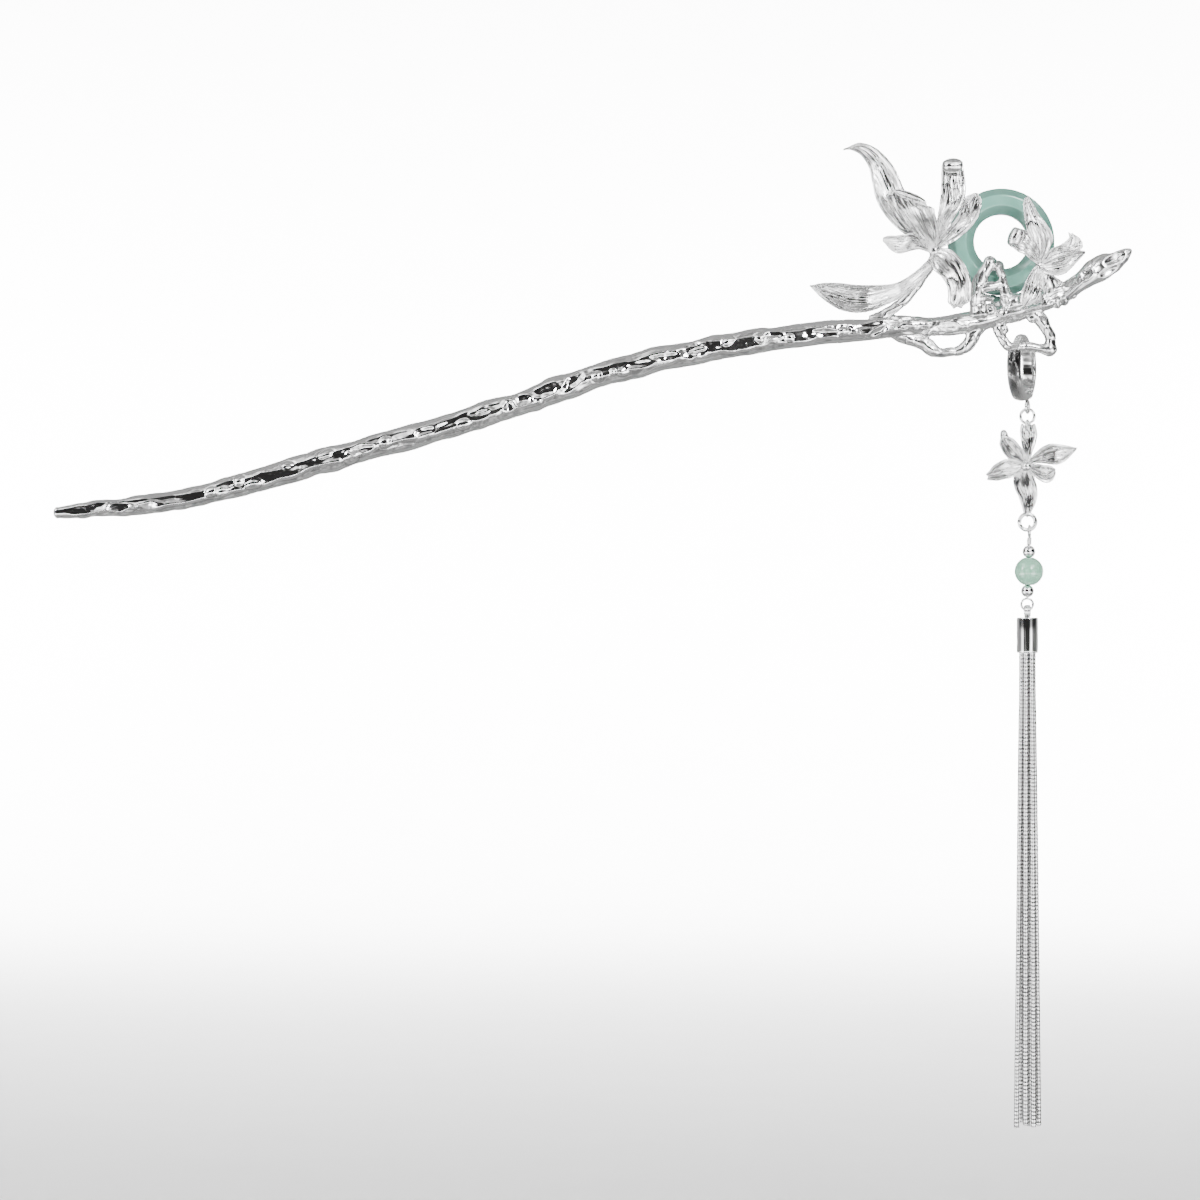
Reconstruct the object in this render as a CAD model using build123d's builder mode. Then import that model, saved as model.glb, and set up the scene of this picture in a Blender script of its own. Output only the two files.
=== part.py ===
from build123d import *

import os
from math import cos, radians, sin, sqrt

# Buyao hairpin, millimetres, +Z up and +X to the right as it is looked at from the front (-Y).
# The origin is on the stick's axis, where the hair grips it.

# Jade ring behind the twigs
RING_CENTRE = (79.2, 2.0, 26.55)
RING_OUTER_RADIUS = 8.0
RING_HOLE_RADIUS = 4.1
RING_THICKNESS = 3.6
RING_RIM_THICKNESS = 1.8
RING_OUTER_BEVEL = 1.05
RING_INNER_BEVEL = 1.3
SEAT_GAP = 0.06
SEAT_DEPTH = 2.6
SEAT_THICKNESS = 1.1
SEAT_HALF_ANGLE = 19
SEAT_FOOT_SIDE = 2.1
SEAT_FOOT_DROP = 11.2
SEAT_REACH = 1.2

# Hinged round bail round the bar of the lower twig loop
BAR_CENTRE = (82.4, 0.0, 10.73)
BAR_RADIUS = 0.8
BAR_HALF_LENGTH = 1.9
BAIL_TURN = 20
BAIL_OUTER_RADIUS = 5.1
BAIL_INNER_RADIUS = 4.1
BAIL_HALF_WIDTH = 1.0
BAIL_EDGE = 0.3
BAR_BEHIND_BAIL = 0.9
BAR_ABOVE_BAIL = 3.1
TONGUE_INNER_RADIUS = 4.25
TONGUE_OUTER_RADIUS = 4.95
TONGUE_HALF_WIDTH = 0.5
TONGUE_EDGE = 0.15
BODY_END_ANGLE = 152.5
TONGUE_END_ANGLE = 150
TONGUE_START_ANGLE = 45
TONGUE_ROOT_ANGLE = 3
HINGE_ANGLE = 303
HINGE_PIN_RADIUS = 0.22
HINGE_PIN_HALF_LENGTH = 1.05
HINGE_HOLE_RADIUS = 0.28
HINGE_EYE_RADIUS = 0.5
HINGE_CLEARING_RADIUS = 0.6
HINGE_TAB_HALF_WIDTH = 0.4
HINGE_TAB_ANGLE = 12
HINGE_SLOT_HALF_WIDTH = 0.46
EYELET_BEHIND = 1.0
EYELET_ASIDE = 0.6
EYELET_HEIGHT = 1.65
EYELET_RADIUS = 0.825
EYELET_WIRE_RADIUS = 0.225
EYELET_NECK_WIDTH = 0.7
EYELET_NECK_HEIGHT = 0.6
EYELET_NECK_SINK = 0.1

# Links, beads, cap and strands of the drop
DROP_X = 83.0
DROP_Y = -0.1
LINK_GAP = 0.05
UPPER_LINK_RADIUS = 1.06
UPPER_LINK_WIRE_RADIUS = 0.22
CHARM_TOP_LOOP_RADIUS = 0.55
CHARM_FOOT_LOOP_RADIUS = 0.62
CHARM_LOOP_WIRE_RADIUS = 0.16
LOWER_LINK_HEIGHT = -15.6
LOWER_LINK_RADIUS = 1.2
LOWER_LINK_WIRE_RADIUS = 0.3
PIN_TOP_X = 83.3
PIN_FOOT_X = 82.97
PIN_WIRE_RADIUS = 0.19
PIN_TOP_LOOP_RADIUS = 0.8
PIN_FOOT_LOOP_RADIUS = 0.87
PIN_FOOT_WIRE_RADIUS = 0.17
PIN_FOOT_LOOP_HEIGHT = -27.94
PIN_WRAP_RADIUS = 0.36
SILVER_BEAD_RADIUS = 0.95
SILVER_BEAD_HOLE_RADIUS = 0.3
SILVER_BEAD_HEIGHTS = (-20.05, -25.95)
JADE_BEAD_RADIUS = 2.15
JADE_BEAD_HOLE_RADIUS = 0.5
JADE_BEAD_HEIGHT = -23.0
JADE_BEAD_SHIFT = 0.12
CAP_TOP = -29.93
CAP_LENGTH = 5.3
CAP_RADIUS = 1.6
CAP_BORE_RADIUS = 1.36
CAP_ROOF = 0.6
CAP_EDGE = 0.2
CAP_EYE_HEIGHT = -28.98
CAP_EYE_OUTER_RADIUS = 0.95
CAP_EYE_HOLE_RADIUS = 0.5
CAP_EYE_HALF_WIDTH = 0.45
CAP_EYE_FOOT_HEIGHT = 0.6
STRAND_RADIUS = 0.41
STRAND_RING_RADIUS = 0.9
STRAND_STRAIGHT_LENGTH = 2.0
STRAND_BENDS = (60, 120)
TASSEL_HEAD_RADIUS = 1.3
TASSEL_HEAD_LENGTH = 3.4

# Stick, trunk and pod as one run of oval sections, from the blunt tip to the pod's point.
# Columns: x, y, z of the axis, height, depth.
STICK_SECTIONS = (
    (-63.1, 0.0, -14.15, 1.3, 1.2),
    (-62.2, 0.0, -14.1, 1.8, 1.7),
    (-57.0, 0.1, -13.65, 2.35, 2.3),
    (-51.0, 0.0, -13.2, 3.1, 2.7),
    (-45.0, -0.1, -12.45, 3.0, 3.2),
    (-39.0, 0.0, -11.1, 3.4, 3.1),
    (-33.0, 0.15, -9.5, 3.5, 3.7),
    (-27.0, 0.0, -7.8, 3.9, 3.5),
    (-21.0, -0.1, -6.0, 3.75, 3.9),
    (-15.0, 0.0, -4.3, 3.65, 3.6),
    (-9.0, 0.1, -2.65, 3.9, 3.7),
    (-3.0, 0.0, -0.95, 3.65, 3.9),
    (3.0, 0.0, 1.05, 4.0, 3.6),
    (9.0, 0.1, 2.85, 3.7, 3.9),
    (15.0, 0.0, 4.95, 3.85, 3.6),
    (21.0, -0.1, 7.05, 3.8, 3.9),
    (27.0, 0.0, 8.65, 3.9, 3.6),
    (33.0, 0.1, 9.8, 3.65, 3.9),
    (39.0, 0.0, 10.95, 3.75, 3.6),
    (45.0, -0.1, 11.85, 3.6, 3.8),
    (51.0, 0.0, 12.6, 3.7, 3.5),
    (57.0, 0.0, 13.1, 3.4, 3.6),
    (63.0, 0.0, 13.4, 2.9, 3.2),
    (68.5, 0.0, 13.75, 2.7, 3.0),
    (73.5, 0.0, 14.15, 3.2, 3.1),
    (78.2, 0.0, 15.2, 2.9, 3.0),
    (82.5, 0.0, 16.1, 2.3, 2.6),
    (86.0, 0.0, 17.7, 3.1, 2.8),
    (88.9, 0.0, 19.35, 2.7, 2.5),
    (91.0, 0.0, 20.4, 2.9, 2.5),
    (92.7, 0.0, 21.6, 4.1, 3.0),
    (94.6, 0.0, 22.7, 3.8, 3.0),
    (96.5, 0.0, 23.75, 3.0, 2.4),
    (98.0, 0.0, 24.9, 1.8, 1.6),
    (98.6, 0.0, 25.6, 0.7, 0.7),
)

# Two shallow hollows in the pod's front. Columns: x, y, z of the ball that scoops it, its radius.
POD_HOLLOWS = (
    (96.1, -2.0, 23.9, 1.5),
    (94.9, -2.2, 21.9, 1.3),
)

# Knots and balls on the twigs. Columns: x, y, z, radius.
TWIG_KNOTS = (
    (68.8, -0.1, 10.05, 0.95),
    (86.35, 0.0, 10.4, 1.15),
    (77.1, -1.1, 23.9, 1.05),
    (78.4, -1.0, 23.1, 0.95),
    (75.6, -0.9, 20.6, 1.1),
    (78.9, -0.4, 15.9, 1.25),
    (80.2, -0.3, 17.6, 1.15),
    (84.6, 0.0, 14.9, 0.85),
)

# Bent twigs. Columns: radius, points as x, y, z, radius of the bend at each inner point.
TWIGS = (
    (0.65, ((62.9, 0, 13.3), (65.0, 0, 11.35), (68.6, -0.1, 10.1), (73.0, -0.1, 9.8), (74.6, 0, 13.2)),
     (1.2, 2.0, 1.0)),
    (0.66, ((78.4, 0, 14.8), (79.3, 0, 12.2), (80.9, 0, 10.73), (84.3, 0, 10.73)), (1.2, 1.2)),
    (0.7, ((84.0, 0, 10.73), (86.3, 0, 10.5), (86.1, 0, 12.6), (84.4, 0, 15.9)), (0.8, 1.6)),
    (0.9, ((75.7, -0.4, 15.6), (75.3, -1.1, 18.8), (76.0, -1.1, 22.0), (77.2, -1.1, 23.9)), (2.5, 2.0)),
    (0.65, ((77.2, -1.1, 23.9), (78.6, -1.1, 22.6), (79.3, -1.1, 19.9), (80.4, -0.5, 16.4)), (1.4, 3.0)),
    (0.6, ((75.2, -1.1, 19.6), (77.2, -1.2, 20.4), (79.3, -1.1, 19.9)), (3.0,)),
    (0.8, ((69.1, -1.4, 24.2), (66.0, -0.9, 19.2), (63.0, -0.5, 16.3), (59.6, 0.0, 13.6)), (4.0, 5.0)),
    (0.7, ((84.6, -1.4, 22.2), (85.9, -0.9, 19.6), (86.6, 0.0, 17.4)), (3.0,)),
)

# Petals, each named by how it lies, as rows from the flower's middle to the petal's tip.
# Columns: dx, dz from the flower's middle, dy (minus is towards the viewer), width, cup, roll.
LARGE_ORCHID_MIDDLE = (68.9, -1.8, 25.2)
LARGE_ORCHID_HEART_RADIUS = 1.15
LARGE_ORCHID_PETALS = {
    "upper left, long, its tip curling left": (
        (-0.3, 0.3, 0.0, 1.2, 0.1, 0),
        (-3.2, 3.0, -1.5, 3.4, 0.5, 5),
        (-5.5, 5.7, -2.8, 4.4, 0.8, 8),
        (-7.0, 8.4, -3.4, 4.3, 0.8, 10),
        (-7.9, 11.1, -3.2, 3.7, 0.6, 8),
        (-9.5, 13.5, -2.4, 2.4, 0.4, 0),
        (-11.5, 14.95, -1.4, 1.7, 0.25, 0),
        (-13.2, 14.95, -0.8, 0.7, 0.1, 0),
    ),
    "upper left, broad, over the long one": (
        (-0.3, 0.4, -0.5, 1.4, 0.1, 0),
        (-1.7, 2.7, -2.0, 3.3, 0.4, 0),
        (-3.3, 5.2, -3.6, 5.2, 0.7, 0),
        (-4.0, 6.9, -4.4, 5.3, 0.8, 0),
        (-4.2, 7.6, -4.3, 3.6, 0.5, 0),
    ),
    "left, small": (
        (-0.5, 0.2, -0.2, 1.2, 0.1, 0),
        (-2.9, 1.0, -1.8, 2.3, 0.3, 0),
        (-5.6, 0.5, -3.0, 2.6, 0.4, 0),
        (-7.3, 1.0, -3.4, 1.3, 0.2, 0),
        (-8.1, 1.3, -3.4, 0.6, 0.1, 0),
    ),
    "top, upright, its tip rolled back": (
        (0.3, 0.6, 0.1, 1.3, 0.1, 0),
        (1.6, 4.2, -1.2, 2.8, 0.5, 0),
        (2.4, 6.8, -2.6, 3.6, 0.7, 0),
        (2.7, 9.3, -3.0, 3.8, 0.7, 0),
        (2.6, 11.6, -2.4, 3.4, 0.5, 0),
        (2.6, 12.5, -1.4, 2.6, 0.3, 0),
    ),
    "upper right, over the jade ring": (
        (0.5, 0.4, -0.2, 1.4, 0.1, 0),
        (3.4, 2.9, -1.4, 2.7, 0.4, 10),
        (5.0, 4.5, -2.2, 2.9, 0.5, 15),
        (5.5, 6.3, -2.2, 2.8, 0.5, 15),
        (5.9, 7.7, -1.7, 1.9, 0.3, 5),
        (6.1, 8.2, -1.3, 0.9, 0.1, 0),
    ),
    "lower right, hanging over the jade ring": (
        (0.3, -0.5, -0.2, 1.6, 0.1, 0),
        (2.0, -3.0, -1.4, 3.6, 0.4, 0),
        (3.2, -5.0, -2.2, 3.9, 0.5, 0),
        (3.6, -6.9, -2.4, 3.5, 0.4, 0),
        (3.5, -8.1, -2.0, 3.0, 0.3, 0),
        (3.4, -8.7, -1.6, 2.0, 0.2, 0),
    ),
    "lower left, the longest": (
        (-0.3, -0.5, 0.0, 1.4, 0.1, 0),
        (-2.0, -3.2, -0.9, 1.8, 0.3, 0),
        (-3.4, -4.8, -1.4, 2.2, 0.4, 0),
        (-6.2, -6.6, -2.4, 3.0, 0.6, 0),
        (-9.4, -7.4, -3.2, 3.8, 0.8, 0),
        (-12.1, -7.6, -3.4, 4.2, 0.8, 0),
        (-14.3, -7.1, -3.0, 3.7, 0.6, 0),
        (-16.4, -6.5, -2.2, 2.5, 0.4, 0),
        (-18.2, -5.8, -1.4, 0.9, 0.1, 0),
    ),
}

SMALL_ORCHID_MIDDLE = (84.6, -1.8, 22.7)
SMALL_ORCHID_HEART_RADIUS = 0.75
SMALL_ORCHID_PETALS = {
    "up": (
        (0.0, 0.4, 0.0, 1.2, 0.1, 0),
        (0.1, 3.6, -1.3, 3.0, 0.4, 0),
        (-0.3, 5.7, -2.1, 3.1, 0.5, 0),
        (-1.3, 7.8, -2.3, 2.4, 0.4, 0),
        (-1.7, 9.5, -1.8, 1.5, 0.2, 0),
        (-1.9, 10.3, -1.3, 0.6, 0.1, 0),
    ),
    "left, its tip rolled": (
        (-0.3, 0.3, 0.0, 1.2, 0.1, 0),
        (-2.1, 2.8, -1.4, 3.0, 0.5, 0),
        (-3.2, 3.8, -1.9, 3.1, 0.5, 0),
        (-4.1, 4.1, -1.6, 2.0, 0.3, 0),
    ),
    "upper right, its tip turned up": (
        (0.4, 0.2, 0.0, 1.0, 0.1, 0),
        (2.7, 1.6, -1.5, 2.1, 0.3, 0),
        (4.2, 2.5, -2.4, 2.6, 0.4, 0),
        (5.0, 3.6, -2.4, 2.1, 0.3, 0),
        (5.1, 4.5, -1.9, 1.2, 0.1, 0),
    ),
    "lower right": (
        (0.4, -0.1, 0.0, 1.0, 0.1, 0),
        (2.6, -0.4, -1.5, 2.1, 0.3, 0),
        (4.1, 0.1, -2.4, 2.2, 0.4, 0),
        (5.6, 1.2, -2.8, 1.4, 0.2, 0),
        (6.5, 1.8, -2.8, 0.6, 0.1, 0),
    ),
    "down, over the trunk": (
        (-0.1, -0.4, 0.0, 1.3, 0.1, 0),
        (-0.75, -2.3, -0.9, 2.6, 0.4, 0),
        (-1.3, -3.8, -1.4, 2.8, 0.5, 0),
        (-1.65, -5.0, -1.4, 2.5, 0.4, 0),
        (-1.95, -5.9, -0.9, 1.5, 0.2, 0),
    ),
}

CHARM_MIDDLE = (82.9, DROP_Y, -7.32)
CHARM_HEART_RADIUS = 0.75
CHARM_PETALS = {
    "up, to the upper link": (
        (0.0, 0.4, -0.1, 1.1, 0.1, 0),
        (0.2, 3.1, -0.5, 2.0, 0.3, 0),
        (0.2, 4.9, -0.4, 2.3, 0.4, 0),
        (0.1, 5.85, 0.1, 1.8, 0.2, 0),
    ),
    "right, long": (
        (0.4, 0.3, -0.1, 1.0, 0.1, 0),
        (2.9, 1.8, -0.7, 2.3, 0.3, 0),
        (4.7, 2.1, -0.8, 2.5, 0.4, 0),
        (6.2, 2.4, -0.5, 1.7, 0.3, 0),
        (7.4, 2.75, -0.1, 0.6, 0.1, 0),
    ),
    "lower right, round": (
        (0.4, -0.2, -0.1, 1.0, 0.1, 0),
        (2.2, -0.9, -0.5, 2.4, 0.3, 0),
        (3.2, -1.4, -0.5, 2.5, 0.3, 0),
        (4.0, -1.6, -0.3, 1.3, 0.1, 0),
    ),
    "down, long, to the lower link": (
        (0.0, -0.4, -0.1, 1.1, 0.1, 0),
        (-0.3, -2.3, -0.5, 3.0, 0.4, 0),
        (-0.15, -3.8, -0.6, 2.9, 0.5, 0),
        (0.1, -5.4, -0.3, 2.0, 0.3, 0),
        (0.1, -6.3, 0.0, 1.2, 0.1, 0),
    ),
    "left": (
        (-0.4, 0.0, -0.1, 1.0, 0.1, 0),
        (-2.8, -0.3, -0.6, 2.6, 0.3, 0),
        (-4.4, -0.55, -0.7, 2.4, 0.4, 0),
        (-5.6, -1.1, -0.4, 1.2, 0.2, 0),
    ),
    "upper left, short, its tip rolled": (
        (-0.3, 0.4, -0.1, 1.0, 0.1, 0),
        (-1.9, 2.2, -0.6, 2.2, 0.3, 0),
        (-2.9, 3.3, -0.7, 2.3, 0.4, 0),
        (-3.3, 4.2, -0.4, 1.4, 0.2, 0),
    ),
}

PETAL_THICKNESS = 0.5
PETAL_RIM_THICKNESS = 0.24

# Strands of the tassel round the middle one, with the spread and length that each hangs to.
# Columns: angle round the drop, distance from its axis at mid-length, at the foot, length.
TASSEL_STRANDS = (
    (10, 1.35, 1.75, 70.9),
    (70, 1.1, 1.2, 71.1),
    (130, 1.2, 1.35, 70.5),
    (190, 1.3, 1.7, 71.2),
    (250, 1.05, 1.15, 70.7),
    (310, 1.15, 1.3, 71.0),
)
TASSEL_MIDDLE_LENGTH = 70.8


def directions(points):
    """The unit direction of a route at each of its points."""
    result = []
    for index in range(len(points)):
        before = Vector(*points[max(index - 1, 0)])
        after = Vector(*points[min(index + 1, len(points) - 1)])
        result.append((after - before).normalized())
    return result


def oval_run(sections):
    """A smooth solid through oval sections that stand square to their route."""
    tangents = directions([row[:3] for row in sections])
    with BuildPart() as run:
        for (x, y, z, height, depth), tangent in zip(sections, tangents):
            with BuildSketch(Plane(origin=(x, y, z), x_dir=(0, 1, 0), z_dir=tangent)):
                Ellipse(depth / 2, height / 2)
        loft()
    return run.part


def twig(radius, points, bends):
    """A round twig along straight runs joined by bends."""
    with BuildPart() as piece:
        with BuildLine() as route:
            FilletPolyline(*points, radius=list(bends))
        with BuildSketch(Plane(origin=route.line @ 0, z_dir=route.line % 0)):
            Circle(radius)
        sweep()
    return piece.part


def petal(middle, rows):
    """A cupped petal through crescent sections, its hollow side to the viewer."""
    points = [(middle[0] + dx, middle[1] + dy, middle[2] + dz) for dx, dz, dy, _, _, _ in rows]
    half = PETAL_THICKNESS / 2
    rim = PETAL_RIM_THICKNESS / 2
    with BuildPart() as piece:
        for row, point, tangent in zip(rows, points, directions(points)):
            side = row[3] / 2
            cup = row[4]
            facing = Vector(0, -1, 0) - tangent * Vector(0, -1, 0).dot(tangent)
            facing = facing.normalized().rotate(Axis((0, 0, 0), tuple(tangent)), row[5])
            with BuildSketch(Plane(origin=point, x_dir=facing.cross(tangent), z_dir=tangent)):
                with BuildLine():
                    ThreePointArc((-side, -rim), (0, -cup - half), (side, -rim))
                    Line((side, -rim), (side, rim))
                    ThreePointArc((side, rim), (0, half - cup), (-side, rim))
                    Line((-side, rim), (-side, -rim))
                make_face()
        loft()
    return piece.part


def orchid(middle, heart_radius, petals):
    """Petals joined to a round heart."""
    pieces = [petal(middle, rows) for rows in petals.values()]
    with BuildPart() as flower:
        with Locations(middle):
            Sphere(heart_radius)
        for piece in pieces:
            add(piece)
    return flower.part


def link(centre, axis, radius, wire_radius):
    """A closed round link whose hole looks along its axis."""
    with BuildPart(Plane(origin=centre, z_dir=axis)) as piece:
        Torus(radius, wire_radius)
    return piece.part


def drilled_bead(centre, radius, hole_radius):
    """A round bead with an upright hole."""
    with BuildPart(Plane(origin=centre)) as bead:
        Sphere(radius)
        Cylinder(hole_radius, 2 * radius, mode=Mode.SUBTRACT)
    return bead.part


# The bail's own frame: its x is back and a little right, its y is up, its z is the hoop's axis.
BAIL_BACK = Vector(sin(radians(BAIL_TURN)), cos(radians(BAIL_TURN)), 0)
BAIL_AXIS = Vector(cos(radians(BAIL_TURN)), -sin(radians(BAIL_TURN)), 0)
BAIL_CENTRE = Vector(*BAR_CENTRE) - BAIL_BACK * BAR_BEHIND_BAIL - Vector(0, 0, BAR_ABOVE_BAIL)
BAIL_PLANE = Plane(origin=BAIL_CENTRE, x_dir=BAIL_BACK, z_dir=BAIL_AXIS)
BAIL_MIDDLE_RADIUS = (BAIL_OUTER_RADIUS + BAIL_INNER_RADIUS) / 2
HINGE_POINT = (
    BAIL_MIDDLE_RADIUS * cos(radians(HINGE_ANGLE)),
    BAIL_MIDDLE_RADIUS * sin(radians(HINGE_ANGLE)),
)
WEDGE_RADIUS = 2 * BAIL_OUTER_RADIUS
WEDGE_STEP_LIMIT = 60


def hoop_sector(start, stop, inner, outer, half_width, edge):
    """A stretch of a flat hoop with rounded edges, from one angle to another."""
    steps = 1 + int((stop - start) / WEDGE_STEP_LIMIT)
    angles = [start + (stop - start) * step / steps for step in range(steps + 1)]
    corners = [(WEDGE_RADIUS * cos(radians(a)), WEDGE_RADIUS * sin(radians(a))) for a in angles]
    with BuildPart() as sector:
        with BuildSketch(BAIL_PLANE):
            Circle(outer)
            Circle(inner, mode=Mode.SUBTRACT)
        extrude(amount=half_width, both=True)
        if edge:
            fillet(sector.edges().filter_by(GeomType.CIRCLE), edge)
        with BuildSketch(BAIL_PLANE):
            with BuildLine():
                Polyline((0, 0), *corners, close=True)
            make_face()
        extrude(amount=2 * half_width, both=True, mode=Mode.INTERSECT)
    return sector.part


os.makedirs("parts", exist_ok=True)

# Jade ring: a flat stone ring bevelled at its rim and at its hole
with BuildPart() as jade_ring:
    with BuildSketch(Plane.XY.offset(RING_CENTRE[2])):
        half = RING_THICKNESS / 2
        rim = RING_RIM_THICKNESS / 2
        x, y = RING_CENTRE[0], RING_CENTRE[1]
        with BuildLine():
            Polyline(
                (x + RING_HOLE_RADIUS, y - rim),
                (x + RING_HOLE_RADIUS + RING_INNER_BEVEL, y - half),
                (x + RING_OUTER_RADIUS - RING_OUTER_BEVEL, y - half),
                (x + RING_OUTER_RADIUS, y - rim),
                (x + RING_OUTER_RADIUS, y + rim),
                (x + RING_OUTER_RADIUS - RING_OUTER_BEVEL, y + half),
                (x + RING_HOLE_RADIUS + RING_INNER_BEVEL, y + half),
                (x + RING_HOLE_RADIUS, y + rim),
                close=True,
            )
        make_face()
    revolve(axis=Axis(RING_CENTRE, (0, 1, 0)))
jade_ring.part.label = "jade_ring"
export_step(jade_ring.part, "parts/jade_ring.step")

# Seat on the trunk that the ring stands in
seat_back = (RING_CENTRE[0], RING_CENTRE[1] + SEAT_DEPTH / 2, RING_CENTRE[2])
seat_plane = Plane(origin=seat_back, x_dir=(1, 0, 0), z_dir=(0, -1, 0))
seat_inner = RING_OUTER_RADIUS + SEAT_GAP
seat_side = (seat_inner + SEAT_THICKNESS) * sin(radians(SEAT_HALF_ANGLE))
seat_lip_drop = seat_inner * cos(radians(SEAT_HALF_ANGLE))
with BuildPart() as ring_seat:
    with BuildSketch(seat_plane):
        with BuildLine():
            Polyline((-seat_side, -seat_lip_drop), (-SEAT_FOOT_SIDE, -SEAT_FOOT_DROP),
                     (SEAT_FOOT_SIDE, -SEAT_FOOT_DROP), (seat_side, -seat_lip_drop), close=True)
        make_face()
        Circle(seat_inner, mode=Mode.SUBTRACT)
    extrude(amount=SEAT_DEPTH + SEAT_REACH)

# Branch: stick, trunk and pod, the twigs, the ring's seat and both orchids, cast and soldered as one
stick = oval_run(STICK_SECTIONS)
twigs = [twig(*row) for row in TWIGS]
large_orchid = orchid(LARGE_ORCHID_MIDDLE, LARGE_ORCHID_HEART_RADIUS, LARGE_ORCHID_PETALS)
small_orchid = orchid(SMALL_ORCHID_MIDDLE, SMALL_ORCHID_HEART_RADIUS, SMALL_ORCHID_PETALS)
with BuildPart() as branch:
    add(stick)
    for piece in twigs:
        add(piece)
    with Locations(Location(BAR_CENTRE, (0, 90, 0))):
        Cylinder(BAR_RADIUS, 2 * BAR_HALF_LENGTH)
    for x, y, z, radius in TWIG_KNOTS:
        with Locations((x, y, z)):
            Sphere(radius)
    add(ring_seat.part)
    add(large_orchid)
    add(small_orchid)
    for x, y, z, radius in POD_HOLLOWS:
        with Locations((x, y, z)):
            Sphere(radius, mode=Mode.SUBTRACT)
branch.part.label = "branch"
export_step(branch.part, "parts/branch.step")

# Bail body: the near half of the hoop, with the fork and pin of its hinge and the drop's eyelet
body_band = hoop_sector(BODY_END_ANGLE, HINGE_ANGLE, BAIL_INNER_RADIUS, BAIL_OUTER_RADIUS,
                        BAIL_HALF_WIDTH, BAIL_EDGE)
eyelet_depth = BAIL_CENTRE.Z - EYELET_HEIGHT
eyelet_centre = BAIL_CENTRE + BAIL_BACK * EYELET_BEHIND + BAIL_AXIS * EYELET_ASIDE - Vector(0, 0, eyelet_depth)
eyelet = link(eyelet_centre, BAIL_AXIS, EYELET_RADIUS, EYELET_WIRE_RADIUS)
with BuildPart() as bail_body:
    add(body_band)
    with BuildSketch(BAIL_PLANE):
        with Locations(HINGE_POINT):
            Circle(HINGE_EYE_RADIUS)
    extrude(amount=BAIL_HALF_WIDTH, both=True)
    with BuildSketch(BAIL_PLANE):
        with Locations(HINGE_POINT):
            Circle(HINGE_CLEARING_RADIUS)
    extrude(amount=HINGE_SLOT_HALF_WIDTH, both=True, mode=Mode.SUBTRACT)
    with BuildSketch(BAIL_PLANE):
        with Locations(HINGE_POINT):
            Circle(HINGE_PIN_RADIUS)
    extrude(amount=HINGE_PIN_HALF_LENGTH, both=True)
    add(eyelet)
    with BuildSketch(BAIL_PLANE.offset(EYELET_ASIDE)):
        with Locations((EYELET_BEHIND, EYELET_RADIUS - eyelet_depth + EYELET_NECK_SINK)):
            Rectangle(EYELET_NECK_WIDTH, EYELET_NECK_HEIGHT)
    extrude(amount=EYELET_WIRE_RADIUS, both=True)
bail_body.part.label = "bail_body"
export_step(bail_body.part, "parts/bail_body.step")

# Bail arm: the far half, with its ridged tongue over the bar and the tab that turns on the pin
arm_band = hoop_sector(HINGE_ANGLE, 360 + TONGUE_START_ANGLE, BAIL_INNER_RADIUS, BAIL_OUTER_RADIUS,
                       BAIL_HALF_WIDTH, BAIL_EDGE)
tongue = hoop_sector(TONGUE_START_ANGLE - TONGUE_ROOT_ANGLE, TONGUE_END_ANGLE, TONGUE_INNER_RADIUS, TONGUE_OUTER_RADIUS,
                     TONGUE_HALF_WIDTH, TONGUE_EDGE)
tab_neck = hoop_sector(HINGE_ANGLE, HINGE_ANGLE + HINGE_TAB_ANGLE, BAIL_INNER_RADIUS, BAIL_OUTER_RADIUS,
                       HINGE_TAB_HALF_WIDTH, 0)
with BuildPart() as bail_arm:
    add(arm_band)
    with BuildSketch(BAIL_PLANE):
        with Locations(HINGE_POINT):
            Circle(HINGE_CLEARING_RADIUS)
    extrude(amount=2 * BAIL_HALF_WIDTH, both=True, mode=Mode.SUBTRACT)
    add(tongue)
    add(tab_neck)
    with BuildSketch(BAIL_PLANE):
        with Locations(HINGE_POINT):
            Circle(HINGE_EYE_RADIUS)
    extrude(amount=HINGE_TAB_HALF_WIDTH, both=True)
    with BuildSketch(BAIL_PLANE):
        with Locations(HINGE_POINT):
            Circle(HINGE_HOLE_RADIUS)
    extrude(amount=2 * BAIL_HALF_WIDTH, both=True, mode=Mode.SUBTRACT)
bail_arm.part.label = "bail_arm"
export_step(bail_arm.part, "parts/bail_arm.step")

# Upper jump ring through the eyelet
sway_height = EYELET_HEIGHT - EYELET_RADIUS
upper_link_top = sway_height + EYELET_WIRE_RADIUS + UPPER_LINK_WIRE_RADIUS + LINK_GAP
upper_link_height = upper_link_top - UPPER_LINK_RADIUS
with BuildPart() as jump_ring_upper:
    add(link((DROP_X, DROP_Y, upper_link_height), BAIL_BACK, UPPER_LINK_RADIUS, UPPER_LINK_WIRE_RADIUS))
jump_ring_upper.part.label = "jump_ring_upper"
export_step(jump_ring_upper.part, "parts/jump_ring_upper.step")

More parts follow.
